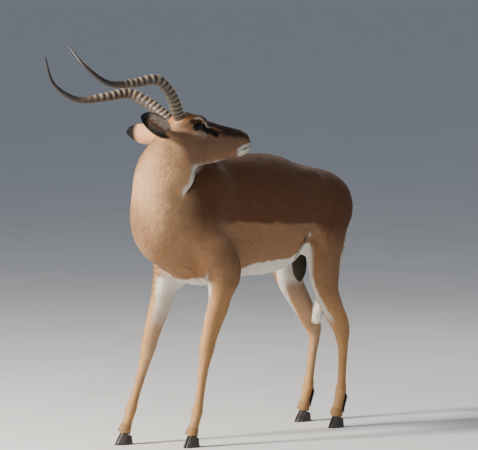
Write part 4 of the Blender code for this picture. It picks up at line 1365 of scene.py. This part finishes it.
def make_horn(name, side):
    """A lyre-shaped tube with ridges across its front, closer and stronger near the base."""
    centres, t = horn_axis(side)
    along = unit_rows(np.gradient(centres, axis=0))
    front = along_head(1, 0, .35)
    front = unit_rows(front - (along @ front)[:, None] * along)
    across = np.cross(along, front)
    phase = np.clip((t - RINGS_START) / (RINGS_END - RINGS_START), 0, 1) ** .86 * RINGS
    saw = phase % 1
    uneven = .8 + .4 * rng.random(RINGS + 1)[phase.astype(int)]
    ridge = ramp(saw, .04, .38) * ramp(saw, .92, .50) * uneven
    strength = ramp(t, RINGS_START, RINGS_START + .03) * ramp(t, RINGS_END + .01, RINGS_END - .16)
    angle = np.linspace(0, 2 * pi, HORN_AROUND, endpoint=False)
    facing = .50 + .50 * np.cos(angle)[None, :]
    swell = 1 + (.165 * strength * ridge)[:, None] * (.30 + .70 * facing) - (.05 * strength)[:, None]
    ripple = 1 + (.010 * np.sin(angle * 11) + .008 * np.sin(angle * 5 + 1))[None, :]
    radius = HORN_BASE_RADIUS * (1 - (1 - HORN_TIP_RADIUS / HORN_BASE_RADIUS) * t ** HORN_TAPER)
    r = radius[:, None] * swell * ripple
    outward = (np.cos(angle)[None, :, None] * front[:, None]
               + np.sin(angle)[None, :, None] * across[:, None])
    verts = (centres[:, None] + r[..., None] * outward).reshape(-1, 3)
    crest = (ridge * strength)[:, None] * (.4 + .6 * facing)
    # painted shade: a thin dark band after each crest, strongest at the front
    groove_shade = (np.maximum(ramp(saw, .66, .88), ramp(saw, .14, .02)) * strength)[:, None] * (.4 + .6 * facing)
    tone = horn_colour(*(np.broadcast_to(row, r.shape).ravel()
                         for row in (t[:, None], crest, groove_shade, facing)))
    verts = np.vstack([verts, centres[-1] + along[-1] * .0015, centres[0]])
    tone = np.vstack([tone, tone[-1:], tone[:1]])
    horn = new_piece(f"horns_{name}", verts, tube_faces(HORN_ROWS, HORN_AROUND), tone, HORN)
    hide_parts(f"horn_{name}")


# --------------------------------------------------------------------------------------- eyes

EYE_ROWS, EYE_AROUND = 38, 48


def eye_ball():
    """Points of a ball round the way it looks: rings from front to back, then the back and the front."""
    polar, angle = np.meshgrid(np.linspace(0, pi, EYE_ROWS + 2)[1:-1],
                               np.linspace(0, 2 * pi, EYE_AROUND, endpoint=False), indexing="ij")
    rings = np.stack((np.sin(polar) * np.cos(angle), np.sin(polar) * np.sin(angle), np.cos(polar)), -1)
    return np.vstack([rings.reshape(-1, 3), [0, 0, -1], [0, 0, 1]])


def make_eye(name, side):
    """An eyeball with a bulging cornea, a dark brown iris and a level oval pupil."""
    centre = on_head(*mirrored(EYE_PLACE, side))
    look = unit(along_head(*mirrored(EYE_AXIS, side)))
    fore = along_head(1, 0, -.1)
    fore = unit(fore - (fore @ look) * look)
    ball = eye_ball()
    off = np.arccos(ball[:, 2].clip(-1, 1))
    bulge = .0006 * np.clip(1 - (off / .75) ** 2, 0, 1)
    axes = np.array([fore, np.cross(look, fore), look])
    verts = centre + (ball * (EYE_RADIUS * .985 + bulge)[:, None]) @ axes
    c = mix(np.tile(rgb(46, 27, 16), (len(ball), 1)), rgb(14, 10, 9), ramp(off, .62, .80))
    pupil = np.sqrt((ball[:, 0] / .52) ** 2 + (ball[:, 1] / .27) ** 2)
    c = mix(c, rgb(6, 5, 6), ramp(pupil, 1.12, .95) * (ball[:, 2] > 0))
    faces = [np.roll(part[:, ::-1], 1, axis=1) for part in tube_faces(EYE_ROWS, EYE_AROUND)]
    eye = new_piece(f"eyeball_{name}", verts, faces, c, EYE)
    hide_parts(f"eye_{name}")


# ------------------------------------------------------------------------------------- hooves

CLAW = [(.034, .0035), (.027, .0115), (.011, .0190), (-.009, .0212), (-.021, .0185), (-.027, .0110),
        (-.025, .0032), (-.009, .0016), (.012, .0016), (.028, .0014)]
CLAW_TOP_LENGTH, CLAW_TOP_WIDTH, CLAW_TOP_SHIFT = 0.56, 0.82, -0.0085
# Height up the claw, how far it has drawn in to its top, and how much it is rounded off
CLAW_LEVELS = [(0, .00, .970), (.02, .01, .995), (.12, .10, 1.0), (.35, .34, 1.0),
               (.60, .62, 1.0), (.82, .85, 1.0), (.93, .96, 1.02), (1.0, 1.0, .99)]


def foot_frame(leg):
    """The middle of a foot on the floor, its toe direction and its outward direction."""
    kind, side = leg.split("_")
    pastern = leg_place(leg, -1) - leg_place(leg, -2)
    centre = leg_place(leg, -1) + 0.35 * pastern
    turn = radians(FOOT_TURN[kind])
    toe = np.array([-cos(turn), SIDES[side] * sin(turn), 0])
    outward = np.array([0, SIDES[side], 0])
    return np.array([centre[0], centre[1], 0]), toe, unit(outward - (outward @ toe) * toe)


def make_claw(leg, part, outwards):
    """One claw: its outline drawn in towards the top, which slopes down to the heel."""
    centre, toe, outward = foot_frame(leg)
    outline = smooth_curve(CLAW + CLAW[:1], 4)[:-1]
    middle = outline.mean(0)
    shell = bmesh.new()
    made = []
    for height, drawn, swell in CLAW_LEVELS:
        for x, y in middle + (outline - middle) * swell:
            x = x * (1 - drawn) + (CLAW_TOP_LENGTH * x + CLAW_TOP_SHIFT) * drawn
            y *= 1 - (1 - CLAW_TOP_WIDTH) * drawn
            rise = np.array([0, 0, height * (HOOF_TOP + HOOF_SLOPE * x)])
            made.append(shell.verts.new(centre + x * toe + outwards * y * outward + rise + SHIFT))
    n = len(outline)
    shell.faces.new(made[:n])
    shell.faces.new(made[-n:])
    for k in range(len(CLAW_LEVELS) - 1):
        for i in range(n):
            j = (i + 1) % n
            shell.faces.new((made[k * n + i], made[k * n + j], made[k * n + n + j], made[k * n + n + i]))
    bmesh.ops.recalc_face_normals(shell, faces=shell.faces)
    mesh = bpy.data.meshes.new(f"claw_{leg}_{part}")
    shell.to_mesh(mesh)
    shell.free()
    mesh.shade_smooth()
    mesh.materials.append(HOOF)
    claw = bpy.data.objects.new(mesh.name, mesh)
    bpy.context.scene.collection.objects.link(claw)
    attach(claw, "root")
    kind, side = leg.split("_")
    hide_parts(f"hoof_{kind[:4]}_{side}_{part}")


# -------------------------------------------------------------------------------------- scene

def frame_shift():
    """From the form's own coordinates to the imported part's."""
    low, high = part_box("eye_left")
    return (np.array(low) + np.array(high)) / 2 - on_head(*EYE_PLACE)


FLESH = ["head", "neck", "trunk", "tail", "scrotum", "ear_left", "ear_right"] + [
    f"{leg}_{part}" for leg in LEG_LINES for part in ("upper", "lower")]
CAMERA_TURN, CAMERA_RISE, CAMERA_DISTANCE, SENSOR = -49.0, 4.0, 14.0, 36.0
VIEW_WIDTH = 1.49375     # how many metres the picture spans at the animal
LOOK_AT = (0, 0, .66)


def add_light(name, place, size, power, colour, target=(0, 0, .6)):
    light = bpy.data.lights.new(name, "AREA")
    light.shape, light.size, light.energy, light.color = "DISK", size, power, colour
    lamp = bpy.data.objects.new(name, light)
    lamp.location = Vector(place)
    lamp.rotation_euler = (Vector(place) - Vector(target)).to_track_quat("Z", "Y").to_euler()
    bpy.context.scene.collection.objects.link(lamp)


def camera_axes():
    """The camera's right, up and backward directions."""
    turn, rise = radians(CAMERA_TURN), radians(CAMERA_RISE)
    back = np.array([sin(turn) * cos(rise), -cos(turn) * cos(rise), sin(rise)])
    right = np.array([cos(turn), sin(turn), 0])
    return right, np.cross(back, right), back


def make_camera():
    right, up, back = camera_axes()
    data = bpy.data.cameras.new("camera")
    data.sensor_width = SENSOR
    data.lens = CAMERA_DISTANCE / VIEW_WIDTH * SENSOR
    data.clip_end = 400
    camera = bpy.data.objects.new("camera", data)
    place = np.array(LOOK_AT) + back * CAMERA_DISTANCE + SHIFT
    camera.matrix_world = Matrix.Translation(Vector(place)) @ Matrix((right, up, back)).transposed().to_4x4()
    bpy.context.scene.collection.objects.link(camera)
    bpy.context.scene.camera = camera


def make_floor():
    bpy.ops.mesh.primitive_circle_add(vertices=96, radius=150, fill_type="NGON")
    floor = bpy.context.active_object
    floor.name = "floor"
    floor.data.materials.append(floor_material())


def make_lights():
    """A warm key light on the sunny side, a weak fill, a rim light and a pale blue surround."""
    world = bpy.data.worlds.new("studio")
    world.use_nodes = True
    world.node_tree.nodes["Background"].inputs["Color"].default_value = (.72, .82, 1.0, 1)
    world.node_tree.nodes["Background"].inputs["Strength"].default_value = .30
    bpy.context.scene.world = world
    right, _, back = camera_axes()
    add_light("key", -right * 3.8 + back * 2.1 + np.array([0, 0, 2.6]), 1.0, 760, (1, .94, .86))
    add_light("fill", right * 3.2 + back * 2.6 + np.array([0, 0, 1.8]), 2.6, 10, (.85, .92, 1))
    add_light("rim", right * 1.5 - back * 3.2 + np.array([0, 0, 3.0]), 1.8, 32, (1, .90, .78))


def body_share(p):
    """How much of the coat grows on the body's skin: none where the head's skin lies over it."""
    return np.where((head_side(p) > -.012) & (by_skull(p) > .5), 0.0, 1.0)


def head_share(p):
    """How much of the coat grows on the head's skin: none where it overlaps the body's."""
    return ramp(head_side(p), -.0125, -.0115)


def make_skin(body, head):
    """One mesh of the body's, head's and ears' skins, in the place of every node of flesh."""
    sheets, colours = [], []
    for verts, quads, normals in (body, head):
        nearest, _, _ = lie_of(verts, normals)
        sheets.append((verts, quads))
        colours.append(body_colour(verts, nearest))
    for name, side in SIDES.items():
        verts, quads, s, turn, inside = make_ear(name, side)
        sheets.append((verts, quads))
        colours.append(ear_colour(s, turn, inside))
    starts = np.cumsum([0] + [len(verts) for verts, _ in sheets])
    quads = np.vstack([quads + start for (_, quads), start in zip(sheets, starts)])
    skin = new_piece("skin", np.vstack([verts for verts, _ in sheets]), [quads], np.vstack(colours),
                     skin_material())
    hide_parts(*FLESH)


def main():
    body, head = make_body_skin(), make_head_skin()
    make_skin(body, head)
    grow_coat([(body, body_share), (head, head_share)])
    grow_tail()
    grow_feet()
    grow_ears()
    for name, side in SIDES.items():
        make_horn(name, side)
        make_eye(name, side)
    for leg in LEG_LINES:
        for part, outwards in (("outer", 1), ("inner", -1)):
            make_claw(leg, part, outwards)
    make_camera()
    make_floor()
    make_lights()


SHIFT = frame_shift()
COAT, HORN, HOOF, EYE = coat_material(), horn_material(), hoof_material(), eye_material()
main()
